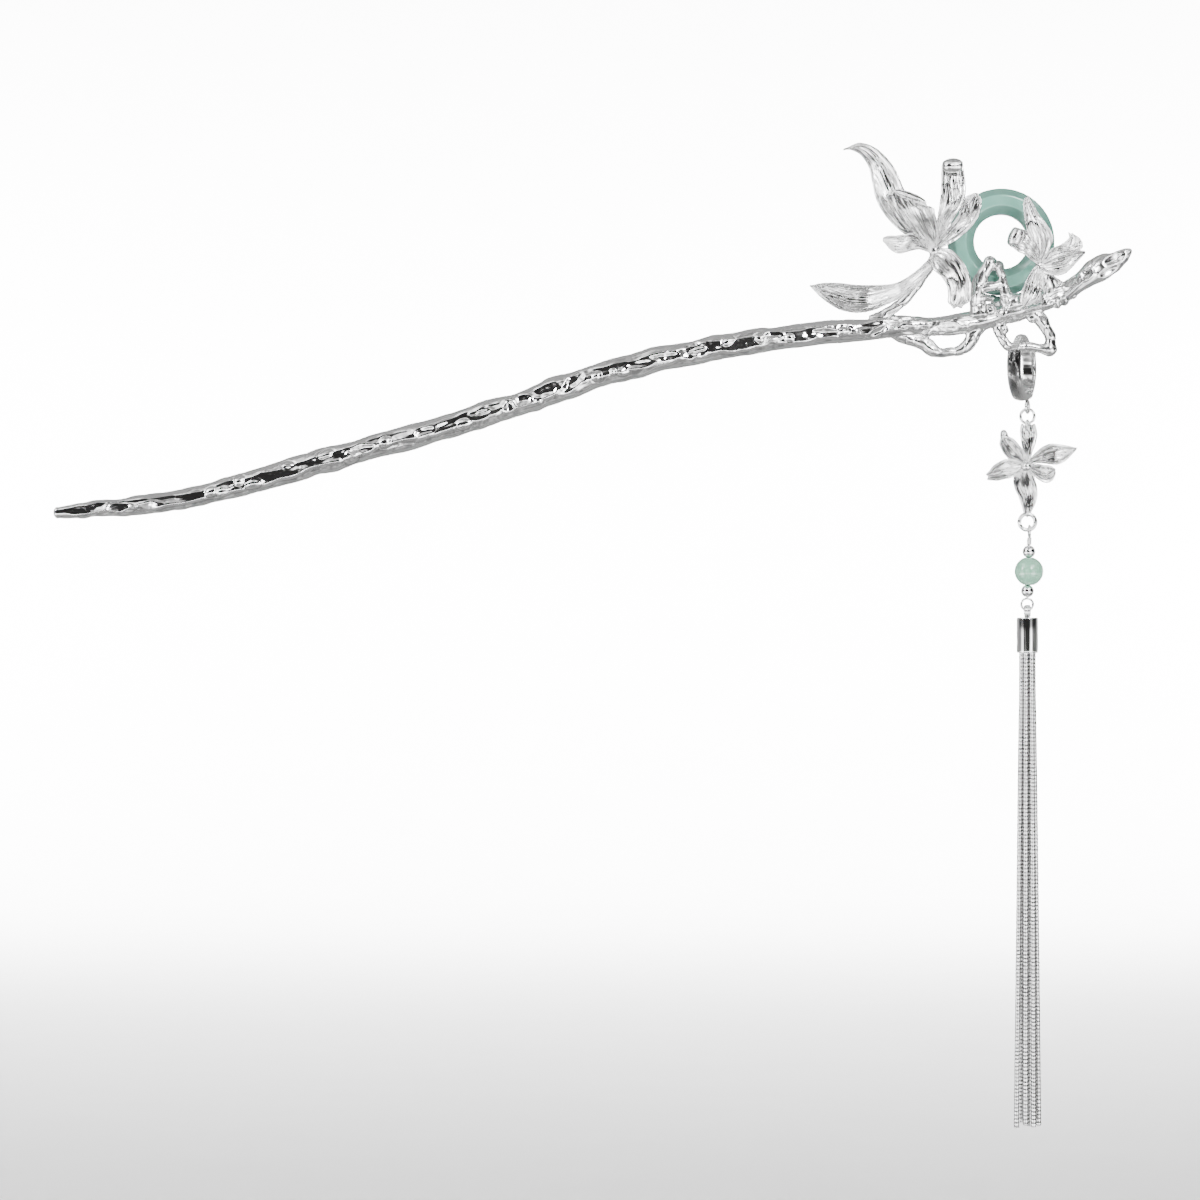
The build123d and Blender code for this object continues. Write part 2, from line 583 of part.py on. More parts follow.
# Charm orchid with a soldered loop at its top and foot
upper_wire_top = upper_link_height - UPPER_LINK_RADIUS + UPPER_LINK_WIRE_RADIUS
top_loop_height = upper_wire_top + LINK_GAP + CHARM_LOOP_WIRE_RADIUS - CHARM_TOP_LOOP_RADIUS
lower_wire_foot = LOWER_LINK_HEIGHT + LOWER_LINK_RADIUS - LOWER_LINK_WIRE_RADIUS
foot_loop_height = lower_wire_foot - LINK_GAP - CHARM_LOOP_WIRE_RADIUS + CHARM_FOOT_LOOP_RADIUS
charm_flower = orchid(CHARM_MIDDLE, CHARM_HEART_RADIUS, CHARM_PETALS)
top_loop = link((DROP_X, DROP_Y, top_loop_height), BAIL_AXIS, CHARM_TOP_LOOP_RADIUS, CHARM_LOOP_WIRE_RADIUS)
foot_loop = link((DROP_X, DROP_Y, foot_loop_height), (1, 0, 0), CHARM_FOOT_LOOP_RADIUS,
                 CHARM_LOOP_WIRE_RADIUS)
with BuildPart() as charm_orchid:
    add(charm_flower)
    add(top_loop)
    add(foot_loop)
charm_orchid.part.label = "charm_orchid"
export_step(charm_orchid.part, "parts/charm_orchid.step")

# Lower jump ring through the charm's foot loop
with BuildPart() as jump_ring_lower:
    add(link((DROP_X, DROP_Y, LOWER_LINK_HEIGHT), (0, 1, 0), LOWER_LINK_RADIUS, LOWER_LINK_WIRE_RADIUS))
jump_ring_lower.part.label = "jump_ring_lower"
export_step(jump_ring_lower.part, "parts/jump_ring_lower.step")

# Eye pin: a wire that carries the beads, with a loop edge-on at its top and one face-on at its foot
pin_aside = PIN_TOP_X - DROP_X
pin_rest = LOWER_LINK_HEIGHT - sqrt(LOWER_LINK_RADIUS ** 2 - pin_aside ** 2)
pin_loop_top = pin_rest + LOWER_LINK_WIRE_RADIUS + PIN_WIRE_RADIUS + LINK_GAP
pin_top_height = pin_loop_top - PIN_TOP_LOOP_RADIUS
pin_shank_top = (PIN_TOP_X, DROP_Y, pin_top_height - PIN_TOP_LOOP_RADIUS)
pin_shank_foot = (PIN_FOOT_X, DROP_Y, PIN_FOOT_LOOP_HEIGHT + PIN_FOOT_LOOP_RADIUS)
pin_direction = (Vector(*pin_shank_foot) - Vector(*pin_shank_top)).normalized()
pin_length = (Vector(*pin_shank_foot) - Vector(*pin_shank_top)).length
wrap_length = pin_shank_top[2] - SILVER_BEAD_HEIGHTS[0] - SILVER_BEAD_RADIUS
top_eye = link((PIN_TOP_X, DROP_Y, pin_top_height), (1, 0, 0), PIN_TOP_LOOP_RADIUS, PIN_WIRE_RADIUS)
foot_eye = link((PIN_FOOT_X, DROP_Y, PIN_FOOT_LOOP_HEIGHT), (0, 1, 0), PIN_FOOT_LOOP_RADIUS,
                PIN_FOOT_WIRE_RADIUS)
with BuildPart() as eye_pin:
    with BuildSketch(Plane(origin=pin_shank_top, z_dir=pin_direction)):
        Circle(PIN_WIRE_RADIUS)
    extrude(amount=pin_length)
    with BuildSketch(Plane(origin=pin_shank_top, z_dir=pin_direction)):
        Circle(PIN_WRAP_RADIUS)
    extrude(amount=wrap_length)
    add(top_eye)
    add(foot_eye)
eye_pin.part.label = "eye_pin"
export_step(eye_pin.part, "parts/eye_pin.step")


def pin_x(height):
    """The wire's x at a height along its slight lean."""
    share = (pin_shank_top[2] - height) / (pin_shank_top[2] - pin_shank_foot[2])
    return PIN_TOP_X + (PIN_FOOT_X - PIN_TOP_X) * share


# Two silver beads with the jade bead between them
for name, height in zip(("bead_silver_upper", "bead_silver_lower"), SILVER_BEAD_HEIGHTS):
    bead = drilled_bead((pin_x(height), DROP_Y, height), SILVER_BEAD_RADIUS, SILVER_BEAD_HOLE_RADIUS)
    bead.label = name
    export_step(bead, f"parts/{name}.step")

jade_x = pin_x(JADE_BEAD_HEIGHT) + JADE_BEAD_SHIFT
bead_jade = drilled_bead((jade_x, DROP_Y, JADE_BEAD_HEIGHT), JADE_BEAD_RADIUS, JADE_BEAD_HOLE_RADIUS)
bead_jade.label = "bead_jade"
export_step(bead_jade, "parts/bead_jade.step")

# End cap: a tube closed at its top, with a thick eye on the eye pin's foot loop
cap_foot = CAP_TOP - CAP_LENGTH
with BuildPart() as end_cap:
    with BuildSketch(Plane.XY.offset(cap_foot)):
        with Locations((DROP_X, DROP_Y)):
            Circle(CAP_RADIUS)
    extrude(amount=CAP_LENGTH)
    fillet(end_cap.edges().sort_by(Axis.Z)[-1], CAP_EDGE)
    with BuildSketch(Plane.XY.offset(cap_foot)):
        with Locations((DROP_X, DROP_Y)):
            Circle(CAP_BORE_RADIUS)
    extrude(amount=CAP_LENGTH - CAP_ROOF, mode=Mode.SUBTRACT)
    with BuildSketch(Plane(origin=(DROP_X, DROP_Y, CAP_EYE_HEIGHT), x_dir=(0, 1, 0), z_dir=(1, 0, 0))):
        Circle(CAP_EYE_OUTER_RADIUS)
        with Locations((0, -CAP_EYE_OUTER_RADIUS)):
            Rectangle(CAP_EYE_OUTER_RADIUS, CAP_EYE_FOOT_HEIGHT)
        Circle(CAP_EYE_HOLE_RADIUS, mode=Mode.SUBTRACT)
    extrude(amount=CAP_EYE_HALF_WIDTH, both=True)
end_cap.part.label = "end_cap"
export_step(end_cap.part, "parts/end_cap.step")

# Tassel: strands that leave a round head inside the cap
head_top = CAP_TOP - CAP_ROOF - LINK_GAP
head_foot = head_top - TASSEL_HEAD_LENGTH
strand_start = head_foot + 0.5 * TASSEL_HEAD_LENGTH
strands = []
for angle, middle_distance, foot_distance, length in TASSEL_STRANDS:
    across = (cos(radians(angle)), sin(radians(angle)))
    route = [
        (DROP_X + distance * across[0], DROP_Y + distance * across[1], height)
        for distance, height in (
            (STRAND_RING_RADIUS, strand_start),
            (STRAND_RING_RADIUS, cap_foot - STRAND_STRAIGHT_LENGTH),
            (middle_distance, cap_foot - 0.5 * length),
            (foot_distance, cap_foot - length),
        )
    ]
    strands.append(twig(STRAND_RADIUS, route, STRAND_BENDS))
with BuildPart() as tassel:
    with BuildSketch(Plane.XY.offset(head_foot)):
        with Locations((DROP_X, DROP_Y)):
            Circle(TASSEL_HEAD_RADIUS)
    extrude(amount=TASSEL_HEAD_LENGTH)
    with BuildSketch(Plane.XY.offset(cap_foot - TASSEL_MIDDLE_LENGTH)):
        with Locations((DROP_X, DROP_Y)):
            Circle(STRAND_RADIUS)
    extrude(amount=TASSEL_MIDDLE_LENGTH + CAP_LENGTH / 2)
    for strand in strands:
        add(strand)
tassel.part.label = "tassel"
export_step(tassel.part, "parts/tassel.step")
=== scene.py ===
import math

import bmesh
import bpy
import numpy as np
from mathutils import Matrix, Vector


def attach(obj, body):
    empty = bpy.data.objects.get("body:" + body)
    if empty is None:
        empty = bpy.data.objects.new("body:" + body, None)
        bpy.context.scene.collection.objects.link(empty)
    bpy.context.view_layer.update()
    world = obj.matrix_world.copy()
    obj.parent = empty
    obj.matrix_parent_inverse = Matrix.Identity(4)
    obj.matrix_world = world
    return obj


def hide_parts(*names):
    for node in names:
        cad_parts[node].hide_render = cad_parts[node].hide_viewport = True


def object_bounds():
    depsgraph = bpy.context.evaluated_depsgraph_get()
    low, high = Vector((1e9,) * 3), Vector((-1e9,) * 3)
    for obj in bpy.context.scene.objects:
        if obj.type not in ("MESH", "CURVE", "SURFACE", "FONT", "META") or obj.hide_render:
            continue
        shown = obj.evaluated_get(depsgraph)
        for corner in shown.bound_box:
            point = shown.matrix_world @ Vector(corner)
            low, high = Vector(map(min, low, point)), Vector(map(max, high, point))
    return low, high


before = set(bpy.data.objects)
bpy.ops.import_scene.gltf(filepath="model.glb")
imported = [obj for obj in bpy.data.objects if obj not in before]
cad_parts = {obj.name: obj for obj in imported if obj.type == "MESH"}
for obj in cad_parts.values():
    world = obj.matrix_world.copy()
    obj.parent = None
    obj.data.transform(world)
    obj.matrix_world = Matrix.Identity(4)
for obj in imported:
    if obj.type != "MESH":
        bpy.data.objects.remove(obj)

cad_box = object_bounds()

MM = 0.001
SEED = 7

# The outlines below are set down across and down the front view, in steps of 0.15 mm.
STEP = 0.15
ORIGIN_ACROSS = 474
ORIGIN_DOWN = 418

LARGE_MIDDLE_Y = -1.8
SMALL_MIDDLE_Y = -1.8
CHARM_MIDDLE_Y = -0.1


def at(across, down, y=0.0):
    """A point in millimetres from its place on the front view and its depth."""
    return ((across - ORIGIN_ACROSS) * STEP, y, (ORIGIN_DOWN - down) * STEP)


def unit(rows):
    """Rows of vectors at length one."""
    rows = np.asarray(rows, float)
    return rows / np.maximum(np.linalg.norm(rows, axis=-1, keepdims=True), 1e-9)


def hermite(knots, rows, where):
    """A smooth run through rows given at knots, read at other places."""
    slopes = np.gradient(rows, knots, axis=0)
    i = np.clip(np.searchsorted(knots, where, side="right") - 1, 0, len(knots) - 2)
    gap = (knots[i + 1] - knots[i])[:, None]
    s = (where - knots[i])[:, None] / gap
    return (
        (2 * s**3 - 3 * s**2 + 1) * rows[i]
        + (s**3 - 2 * s**2 + s) * gap * slopes[i]
        + (3 * s**2 - 2 * s**3) * rows[i + 1]
        + (s**3 - s**2) * gap * slopes[i + 1]
    )


def resample(rows, count):
    """Rows whose first three columns are a place, set evenly along a smooth run through them."""
    rows = np.asarray(rows, float)
    reach = np.concatenate([[0], np.cumsum(np.linalg.norm(np.diff(rows[:, :3], axis=0), axis=1))])
    return hermite(reach, rows, np.linspace(0, reach[-1], count))


def spread(values, count):
    """Evenly spaced values read at more places."""
    rows = np.asarray(values, float).reshape(-1, 1)
    if len(rows) == 1:
        return np.full(count, rows[0, 0])
    return hermite(np.linspace(0, 1, len(rows)), rows, np.linspace(0, 1, count))[:, 0]


def smoothstep(low, high, value):
    t = np.clip((value - low) / (high - low), 0, 1)
    return t * t * (3 - 2 * t)


# Smooth noise on a lattice, the same at every run
table = np.random.default_rng(SEED).permutation(4096)
levels = np.random.default_rng(SEED + 1).uniform(-1, 1, 4096)


def noise(points, seed=0):
    """Smooth noise between -1 and 1 at rows of places."""
    points = np.asarray(points, float) + seed * 17.31
    low = np.floor(points).astype(int)
    f = points - low
    f = f * f * f * (f * (6 * f - 15) + 10)
    total = 0
    for i in (0, 1):
        for j in (0, 1):
            for k in (0, 1):
                key = table[(low[:, 0] + i) % 4096]
                key = table[(key + low[:, 1] + j) % 4096]
                value = levels[table[(key + low[:, 2] + k) % 4096]]
                weight = (
                    (f[:, 0] if i else 1 - f[:, 0])
                    * (f[:, 1] if j else 1 - f[:, 1])
                    * (f[:, 2] if k else 1 - f[:, 2])
                )
                total = total + weight * value
    return total


def field(seed, *parts):
    """Smooth noise over places given axis by axis, in the shape that the parts have together."""
    parts = np.broadcast_arrays(*parts)
    return noise(np.stack([part.ravel() for part in parts], 1), seed).reshape(parts[0].shape)


# Meshes


def skin(rings, looped=False):
    """Points and quads over a run of closed rings, with a fan over each end."""
    rings = np.asarray(rings, float)
    count, sides = rings.shape[:2]
    steps = count if looped else count - 1
    near = np.arange(steps)[:, None] * sides
    far = (np.arange(steps)[:, None] + 1) % count * sides
    a = np.arange(sides)[None]
    b = (a + 1) % sides
    faces = np.stack([near + a, near + b, far + b, far + a], -1).reshape(-1, 4).tolist()
    points = rings.reshape(-1, 3)
    if not looped:
        first = len(points)
        last = (count - 1) * sides
        points = np.vstack([points, rings[0].mean(0), rings[-1].mean(0)])
        faces += [(int(q), int(p), first) for p, q in zip(a[0], b[0])]
        faces += [(last + int(p), last + int(q), first + 1) for p, q in zip(a[0], b[0])]
    return points, faces


def join(parts):
    """Several (points, faces) as one."""
    points, faces, first = [], [], 0
    for part_points, part_faces in parts:
        points.append(part_points)
        faces += [[n + first for n in face] for face in part_faces]
        first += len(part_points)
    return np.vstack(points), faces


def build_mesh(name, points, faces, scale=MM):
    mesh = bpy.data.meshes.new(name)
    mesh.from_pydata((np.asarray(points) * scale).tolist(), [], faces)
    mesh.update()
    return mesh


def add_object(name, data):
    obj = bpy.data.objects.new(name, data)
    bpy.context.scene.collection.objects.link(obj)
    return obj


def outward(mesh):
    """Turns all the faces outwards and shades them smooth."""
    work = bmesh.new()
    work.from_mesh(mesh)
    bmesh.ops.recalc_face_normals(work, faces=work.faces)
    work.to_mesh(mesh)
    work.free()
    mesh.polygons.foreach_set("use_smooth", [True] * len(mesh.polygons))
    mesh.update()


def piece(name, shape, material, body, nodes=(), lay=None, shade=None):
    """A finished piece that rides on its body. lay is each point's place on a petal, shade how much painted shade
    darkens its colour.
    """
    points, faces = shape
    points = np.clip(points, np.array(cad_box[0]) / MM, np.array(cad_box[1]) / MM)
    mesh = build_mesh(name, points, faces)
    outward(mesh)
    if lay is not None:
        mesh.attributes.new("lay", "FLOAT_VECTOR", "POINT").data.foreach_set(
            "vector", np.asarray(lay, np.float32).ravel()
        )
    if shade is not None:
        mesh.attributes.new("shade", "FLOAT", "POINT").data.foreach_set("value", np.asarray(shade, np.float32))
    mesh.materials.append(material)
    obj = add_object(name, mesh)
    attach(obj, body)
    if nodes:
        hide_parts(*nodes)
    return obj


def tube_rings(rows, sides=20, spacing=0.25):
    """Oval rings along rows of x, y, z, half height, half depth."""
    rows = np.asarray(rows, float)
    length = np.linalg.norm(np.diff(rows[:, :3], axis=0), axis=1).sum()
    line = resample(rows, max(6, int(length / spacing)))
    centre, half_height, half_depth = line[:, :3], line[:, 3], line[:, 4]
    tangent = unit(np.gradient(centre, axis=0))
    back = np.array([0, 1.0, 0]) - tangent * tangent[:, 1:2]
    back = unit(back)
    up = np.cross(tangent, back)
    angle = np.linspace(0, 2 * math.pi, sides, endpoint=False)
    return (
        centre[:, None]
        + up[:, None] * (half_height[:, None] * np.sin(angle))[..., None]
        + back[:, None] * (half_depth[:, None] * np.cos(angle))[..., None]
    )


def ball(centre, radius, sides=24):
    """A round knot as (points, faces)."""
    polar = np.linspace(0.08, math.pi - 0.08, sides // 2)
    angle = np.linspace(0, 2 * math.pi, sides, endpoint=False)
    rings = np.stack(
        [
            np.sin(polar)[:, None] * np.cos(angle),
            np.sin(polar)[:, None] * np.sin(angle),
            np.cos(polar)[:, None] * np.ones(sides),
        ],
        -1,
    )
    return skin(np.asarray(centre) + rings * np.asarray(radius))


def melt(parts, voxel, rounds):
    """Parts run together as one skin, their joins softened. Points, faces and normals."""
    mesh = build_mesh("melt", *join(parts), scale=1)
    outward(mesh)
    obj = add_object("melt", mesh)
    remesh = obj.modifiers.new("remesh", "REMESH")
    remesh.mode = "VOXEL"
    remesh.voxel_size = voxel
    soften = obj.modifiers.new("soften", "SMOOTH")
    soften.iterations = rounds
    bpy.context.view_layer.update()
    result = obj.evaluated_get(bpy.context.evaluated_depsgraph_get()).to_mesh()
    points = np.zeros(len(result.vertices) * 3)
    result.vertices.foreach_get("co", points)
    normals = np.zeros(len(result.vertices) * 3)
    result.vertices.foreach_get("normal", normals)
    faces = [tuple(p.vertices) for p in result.polygons]
    bpy.data.objects.remove(obj)
    bpy.data.meshes.remove(mesh)
    return points.reshape(-1, 3), faces, normals.reshape(-1, 3)


# Materials


def material(name):
    """A new node material with its tree and its shader."""
    made = bpy.data.materials.new(name)
    made.use_nodes = True
    return made, made.node_tree, made.node_tree.nodes["Principled BSDF"]


def node(tree, kind, **settings):
    """A new node. Each setting is a property, or a value or a socket for the input of that name."""
    made = tree.nodes.new("ShaderNode" + kind)
    for key, value in settings.items():
        if key not in made.inputs:
            setattr(made, key, value)
        elif isinstance(value, bpy.types.NodeSocket):
            tree.links.new(value, made.inputs[key])
        else:
            made.inputs[key].default_value = value
    return made


def ramp(tree, source, stops):
    """A colour ramp on a value. Stops are (place, grey or colour)."""
    made = node(tree, "ValToRGB", Fac=source)
    while len(made.color_ramp.elements) < len(stops):
        made.color_ramp.elements.new(0.5)
    for element, (place, colour) in zip(made.color_ramp.elements, stops):
        element.position = place
        element.color = (*(colour if isinstance(colour, tuple) else (colour,) * 3), 1)
    return made.outputs["Color"]


def times(tree, one, two):
    """Two colours multiplied."""
    return node(tree, "Mix", data_type="RGBA", blend_type="MULTIPLY", Factor=1.0, A=one, B=two).outputs["Result"]


def clouds(tree, place, scale, detail, **more):
    """A noise texture's grey."""
    return node(tree, "TexNoise", Vector=place, Scale=scale, Detail=detail, **more).outputs["Fac"]


def bump(tree, height, strength, distance, normal=None):
    made = node(tree, "Bump", Strength=strength, Distance=distance, Height=height)
    if normal is not None:
        tree.links.new(normal, made.inputs["Normal"])
    return made.outputs["Normal"]


def math_node(tree, operation, *values):
    made = node(tree, "Math", operation=operation)
    for socket, value in zip(made.inputs, values):
        if isinstance(value, bpy.types.NodeSocket):
            tree.links.new(value, socket)
        else:
            socket.default_value = value
    return made.outputs["Value"]


def fit(tree, value, low, high, kind="LINEAR"):
    """A value fitted from low..high to 0..1."""
    settings = {"interpolation_type": kind, "From Min": low, "From Max": high, "Value": value}
    return node(tree, "MapRange", **settings).outputs["Result"]


# Where the crown grows duller, across, in metres
DULLER_FROM_X = 0.058
DULLER_TO_X = 0.068


def silver(name, tone, roughness, wobble_scale, wobble, veins=0.0, tarnish_and_shade=0.35, duller=0.0):
    """Polished cast silver: uneven sheen, tarnish darker in creases, painted shade where the shade attribute is set,
    fine ripples and, on petals, fine veins.
    duller is how much the roughness grows towards the pod."""
    made, tree, shader = material(name)
    shader.inputs["Metallic"].default_value = 1.0
    place = node(tree, "TexCoord").outputs["Object"]
    pointed = node(tree, "NewGeometry").outputs["Pointiness"]
    # tarnish_and_shade sets both how dark the tarnish in creases is and how dark the painted shade is
    crease = ramp(tree, pointed, ((0.40, 1 - tarnish_and_shade), (0.49, 1.0), (0.60, 1.0)))
    # painted shade: the shade attribute darkens the colour round dents, along grooves and vein lines and between
    # chain scales
    painted_shade = node(tree, "Attribute", attribute_name="shade").outputs["Fac"]
    shaded = ramp(tree, painted_shade, ((0.05, 1.0), (0.9, 1 - 1.4 * tarnish_and_shade)))
    cloud = clouds(tree, place, 420.0, 4.0, Roughness=0.6)
    colour = ramp(tree, cloud, ((0.3, tone * 0.93), (0.7, tone)))
    tree.links.new(times(tree, times(tree, colour, crease), shaded), shader.inputs["Base Color"])
    rough = ramp(tree, cloud, ((0.3, roughness * 0.7), (0.7, roughness * 1.4)))
    if duller:
        x = node(tree, "SeparateXYZ", Vector=place).outputs["X"]
        grow = fit(tree, x, DULLER_FROM_X, DULLER_TO_X)
        rough = math_node(tree, "ADD", rough, math_node(tree, "MULTIPLY", grow, duller))
    tree.links.new(rough, shader.inputs["Roughness"])
    ripple = clouds(tree, place, wobble_scale, 3.0, Roughness=0.55)
    normal = bump(tree, ripple, wobble, 0.0002)
    if veins:
        lay = node(tree, "Attribute", attribute_name="lay").outputs["Vector"]
        stretched = node(tree, "Mapping", Vector=lay, Scale=(6.5, 0.35, 1.0)).outputs["Vector"]
        fibre = clouds(tree, stretched, 1.0, 2.0, Roughness=0.5)
        normal = bump(tree, fibre, veins, 0.0003, normal)
    tree.links.new(normal, shader.inputs["Normal"])
    return made


def jade(name, light, deep, scale, bevel=0.0):
    """Polished pale jade: faint clouds, a little light inside and a wet gloss.
    bevel is how dark the painted shade makes the sides that face neither front nor back."""
    made, tree, shader = material(name)
    place = node(tree, "TexCoord").outputs["Object"]
    cloud = clouds(tree, place, scale, 5.0, Roughness=0.55, Distortion=0.6)
    colour = ramp(tree, cloud, ((0.3, deep), (0.72, light)))
    if bevel:
        # painted shade: the sides that face neither front nor back are darker
        facing = node(tree, "SeparateXYZ", Vector=node(tree, "TexCoord").outputs["Normal"]).outputs["Y"]
        colour = times(tree, colour, ramp(tree, math_node(tree, "ABSOLUTE", facing), ((0.80, bevel), (0.97, 1.0))))
    tree.links.new(colour, shader.inputs["Base Color"])
    tree.links.new(ramp(tree, cloud, ((0.3, 0.10), (0.7, 0.18))), shader.inputs["Roughness"])
    for socket, value in (
        ("Subsurface Weight", 0.35), ("Subsurface Radius", (0.6, 1.0, 0.8)), ("Subsurface Scale", 0.0012),
        ("IOR", 1.6), ("Coat Weight", 0.6), ("Coat Roughness", 0.05),
    ):
        shader.inputs[socket].default_value = value
    pit = clouds(tree, place, 900.0, 2.0)
    tree.links.new(bump(tree, pit, 0.05, 0.0001), shader.inputs["Normal"])
    return made


silver_bark = silver("silver_bark", 0.93, 0.09, 500.0, 0.12, tarnish_and_shade=0.5)
silver_crown = silver("silver_crown", 0.95, 0.09, 500.0, 0.12, tarnish_and_shade=0.5, duller=0.10)
silver_petal = silver("silver_petal", 0.95, 0.12, 900.0, 0.06, veins=0.25, tarnish_and_shade=0.5)
silver_polished = silver("silver_polished", 0.93, 0.06, 300.0, 0.03, tarnish_and_shade=0.3)
silver_chain = silver("silver_chain", 0.80, 0.28, 1200.0, 0.2, tarnish_and_shade=0.6)
jade_teal = jade("jade_teal", (0.28, 0.58, 0.48), (0.21, 0.49, 0.40), 180.0, bevel=0.55)
jade_pale = jade("jade_pale", (0.34, 0.60, 0.44), (0.24, 0.50, 0.36), 300.0)

# Stick, trunk and pod. Columns: across and down on the front view, half height, both in steps, depth share.
STICK_RUN = (
    (53.8, 512.8, 2.6, 0.9), (55.0, 512.7, 4.6, 0.9), (60, 512.3, 5.9, 0.95), (74, 511, 7.4, 1.0),
    (94, 509, 8.2, 1.0), (114, 507.5, 8.7, 1.0), (134, 506, 10.0, 0.95), (154, 504, 10.0, 1.05),
    (174, 501, 10.0, 1.0), (194, 497, 10.9, 1.0), (214, 492, 10.9, 1.05), (234, 486.5, 11.4, 0.95),
    (254, 481.5, 11.4, 1.0), (274, 476, 11.9, 1.05), (294, 470, 12.7, 0.95), (314, 463.5, 12.3, 1.0),
    (334, 458, 12.8, 0.95), (354, 453, 11.9, 1.05), (374, 446.5, 12.3, 1.0), (394, 442, 12.8, 0.95),
    (414, 436, 12.8, 1.0), (434, 430.5, 11.4, 1.05), (454, 424.5, 12.3, 1.0), (474, 418, 12.8, 0.95),
    (494, 411, 13.4, 0.95), (514, 406.5, 11.4, 1.1), (534, 399.5, 12.3, 1.0), (554, 390.5, 13.3, 0.95),
    (574, 385, 12.8, 1.0), (594, 377.5, 12.3, 1.05), (614, 371, 12.8, 1.0), (634, 367, 12.8, 0.95),
    (654, 360, 13.0, 1.0), (674, 356, 12.0, 1.05), (694, 353, 12.2, 1.0), (714, 348, 13.1, 0.95),
    (734, 345, 12.2, 1.05), (754, 341.5, 12.7, 1.0), (774, 339, 12.2, 1.0), (794, 336, 12.2, 1.0),
    (812, 334, 12.2, 1.0), (830, 332, 12.0, 1.0), (850, 330.8, 11.6, 1.0), (870, 329.5, 11.0, 1.0),
    (885, 327.5, 11.2, 1.0), (900, 326, 11.2, 1.0), (915, 326.2, 9.6, 1.1), (930, 326.8, 9.4, 1.1),
    (948, 325.6, 10.2, 1.05), (962, 323.2, 10.8, 1.0), (976, 321.5, 10.6, 1.0), (992, 318.5, 9.6, 1.0),
    (1008, 313.5, 9.8, 1.0), (1022, 309.5, 9.8, 1.0), (1036, 304, 10.0, 1.0), (1050, 298.5, 10.6, 0.95),
    (1064.5, 292, 9.8, 1.0), (1076.8, 284, 9.4, 1.0), (1084.5, 279, 10.2, 0.95), (1092.3, 273.1, 12.4, 0.8),
    (1099.5, 268.5, 13.2, 0.72), (1106, 265, 12.6, 0.7), (1112.3, 262.8, 10.6, 0.72),
    (1118.9, 258.8, 8.6, 0.72), (1126.3, 253.3, 5.8, 0.8), (1130, 250.6, 3.2, 0.9), (1131.6, 249.6, 1.2, 0.9),
)

# Twigs. Columns: across, down, y in mm, half height in steps, half depth in mm.
TWIGS = (
    ((893, 332, 0, 6.5, 0.9), (905, 337.5, 0, 7.0, 0.9), (917, 341, 0, 7.0, 0.95), (926, 344, 0, 7.4, 0.95),
     (932.5, 350, 0, 7.2, 1.0), (940, 352.6, -0.1, 5.4, 0.8), (952, 352.2, -0.1, 5.0, 0.75),
     (961, 350.0, -0.1, 5.8, 0.8), (968.5, 343.5, 0, 6.6, 0.9), (974, 334, 0, 7.6, 1.0),
     (978, 326, 0, 8.0, 1.1)),
    ((995, 319, 0, 8.0, 1.1), (999.5, 330, 0, 6.0, 0.85), (1003.5, 340, 0, 5.4, 0.8),
     (1009.5, 346.6, 0, 5.2, 0.8), (1018, 346.9, 0, 5.2, 0.8), (1030, 346.6, 0, 5.2, 0.8),
     (1040, 348.4, 0, 5.2, 0.8), (1048.6, 348.6, 0, 6.8, 0.95), (1050.6, 340, 0, 5.8, 0.85),
     (1047, 330, 0, 6.0, 0.9), (1041, 320, 0, 6.8, 0.95), (1034, 311, 0, 8.0, 1.1)),
    ((980.5, 323, -0.3, 9.4, 1.2), (978, 309, -0.8, 8.6, 1.15), (976.5, 297, -1.1, 7.6, 1.1),
     (978, 285, -1.1, 7.0, 1.05), (983, 274, -1.1, 6.8, 1.0), (988, 266, -1.1, 6.8, 1.0)),
    ((996.5, 266, -1.1, 6.2, 0.95), (1000.6, 274, -1.1, 5.0, 0.8), (1003, 284, -1.1, 5.2, 0.75),
     (1005.5, 294, -0.9, 6.6, 0.9), (1009, 303, -0.4, 9.6, 1.1), (1012, 313, 0, 11.0, 1.3)),
    ((975, 291.5, -1.2, 5.4, 0.8), (984, 288.5, -1.3, 4.8, 0.7), (993, 286.4, -1.3, 5.0, 0.7),
     (1003, 285, -1.1, 5.0, 0.7)),
    ((974.4, 316, -1.1, 3.2, 0.6), (973.4, 306, -1.6, 3.2, 0.6), (973.6, 294, -1.8, 3.4, 0.6)),
    ((983.5, 318, -1.1, 3.0, 0.6), (983.2, 307, -1.6, 3.0, 0.55), (982.4, 296, -1.7, 3.2, 0.6)),
    ((934, 257, -1.3, 5.2, 0.8), (925, 273, -1.1, 5.0, 0.8), (914.5, 289, -0.9, 4.8, 0.75),
     (903, 301.5, -0.7, 4.8, 0.75), (888, 312, -0.4, 5.2, 0.8), (871, 321, 0, 6.0, 0.9)),
    ((1039, 268, -1.3, 5.4, 0.75), (1045, 279, -0.9, 6.4, 0.85), (1050, 291, -0.3, 8.4, 1.0)),
    ((1043, 274, -0.9, 4.0, 0.6), (1056, 283, -0.6, 4.4, 0.6), (1068, 290, -0.2, 5.0, 0.8)),
    ((1020, 312, -0.9, 2.4, 0.5), (1036, 307.4, -1.3, 2.2, 0.45), (1052, 303.2, -1.2, 2.2, 0.45)),
)

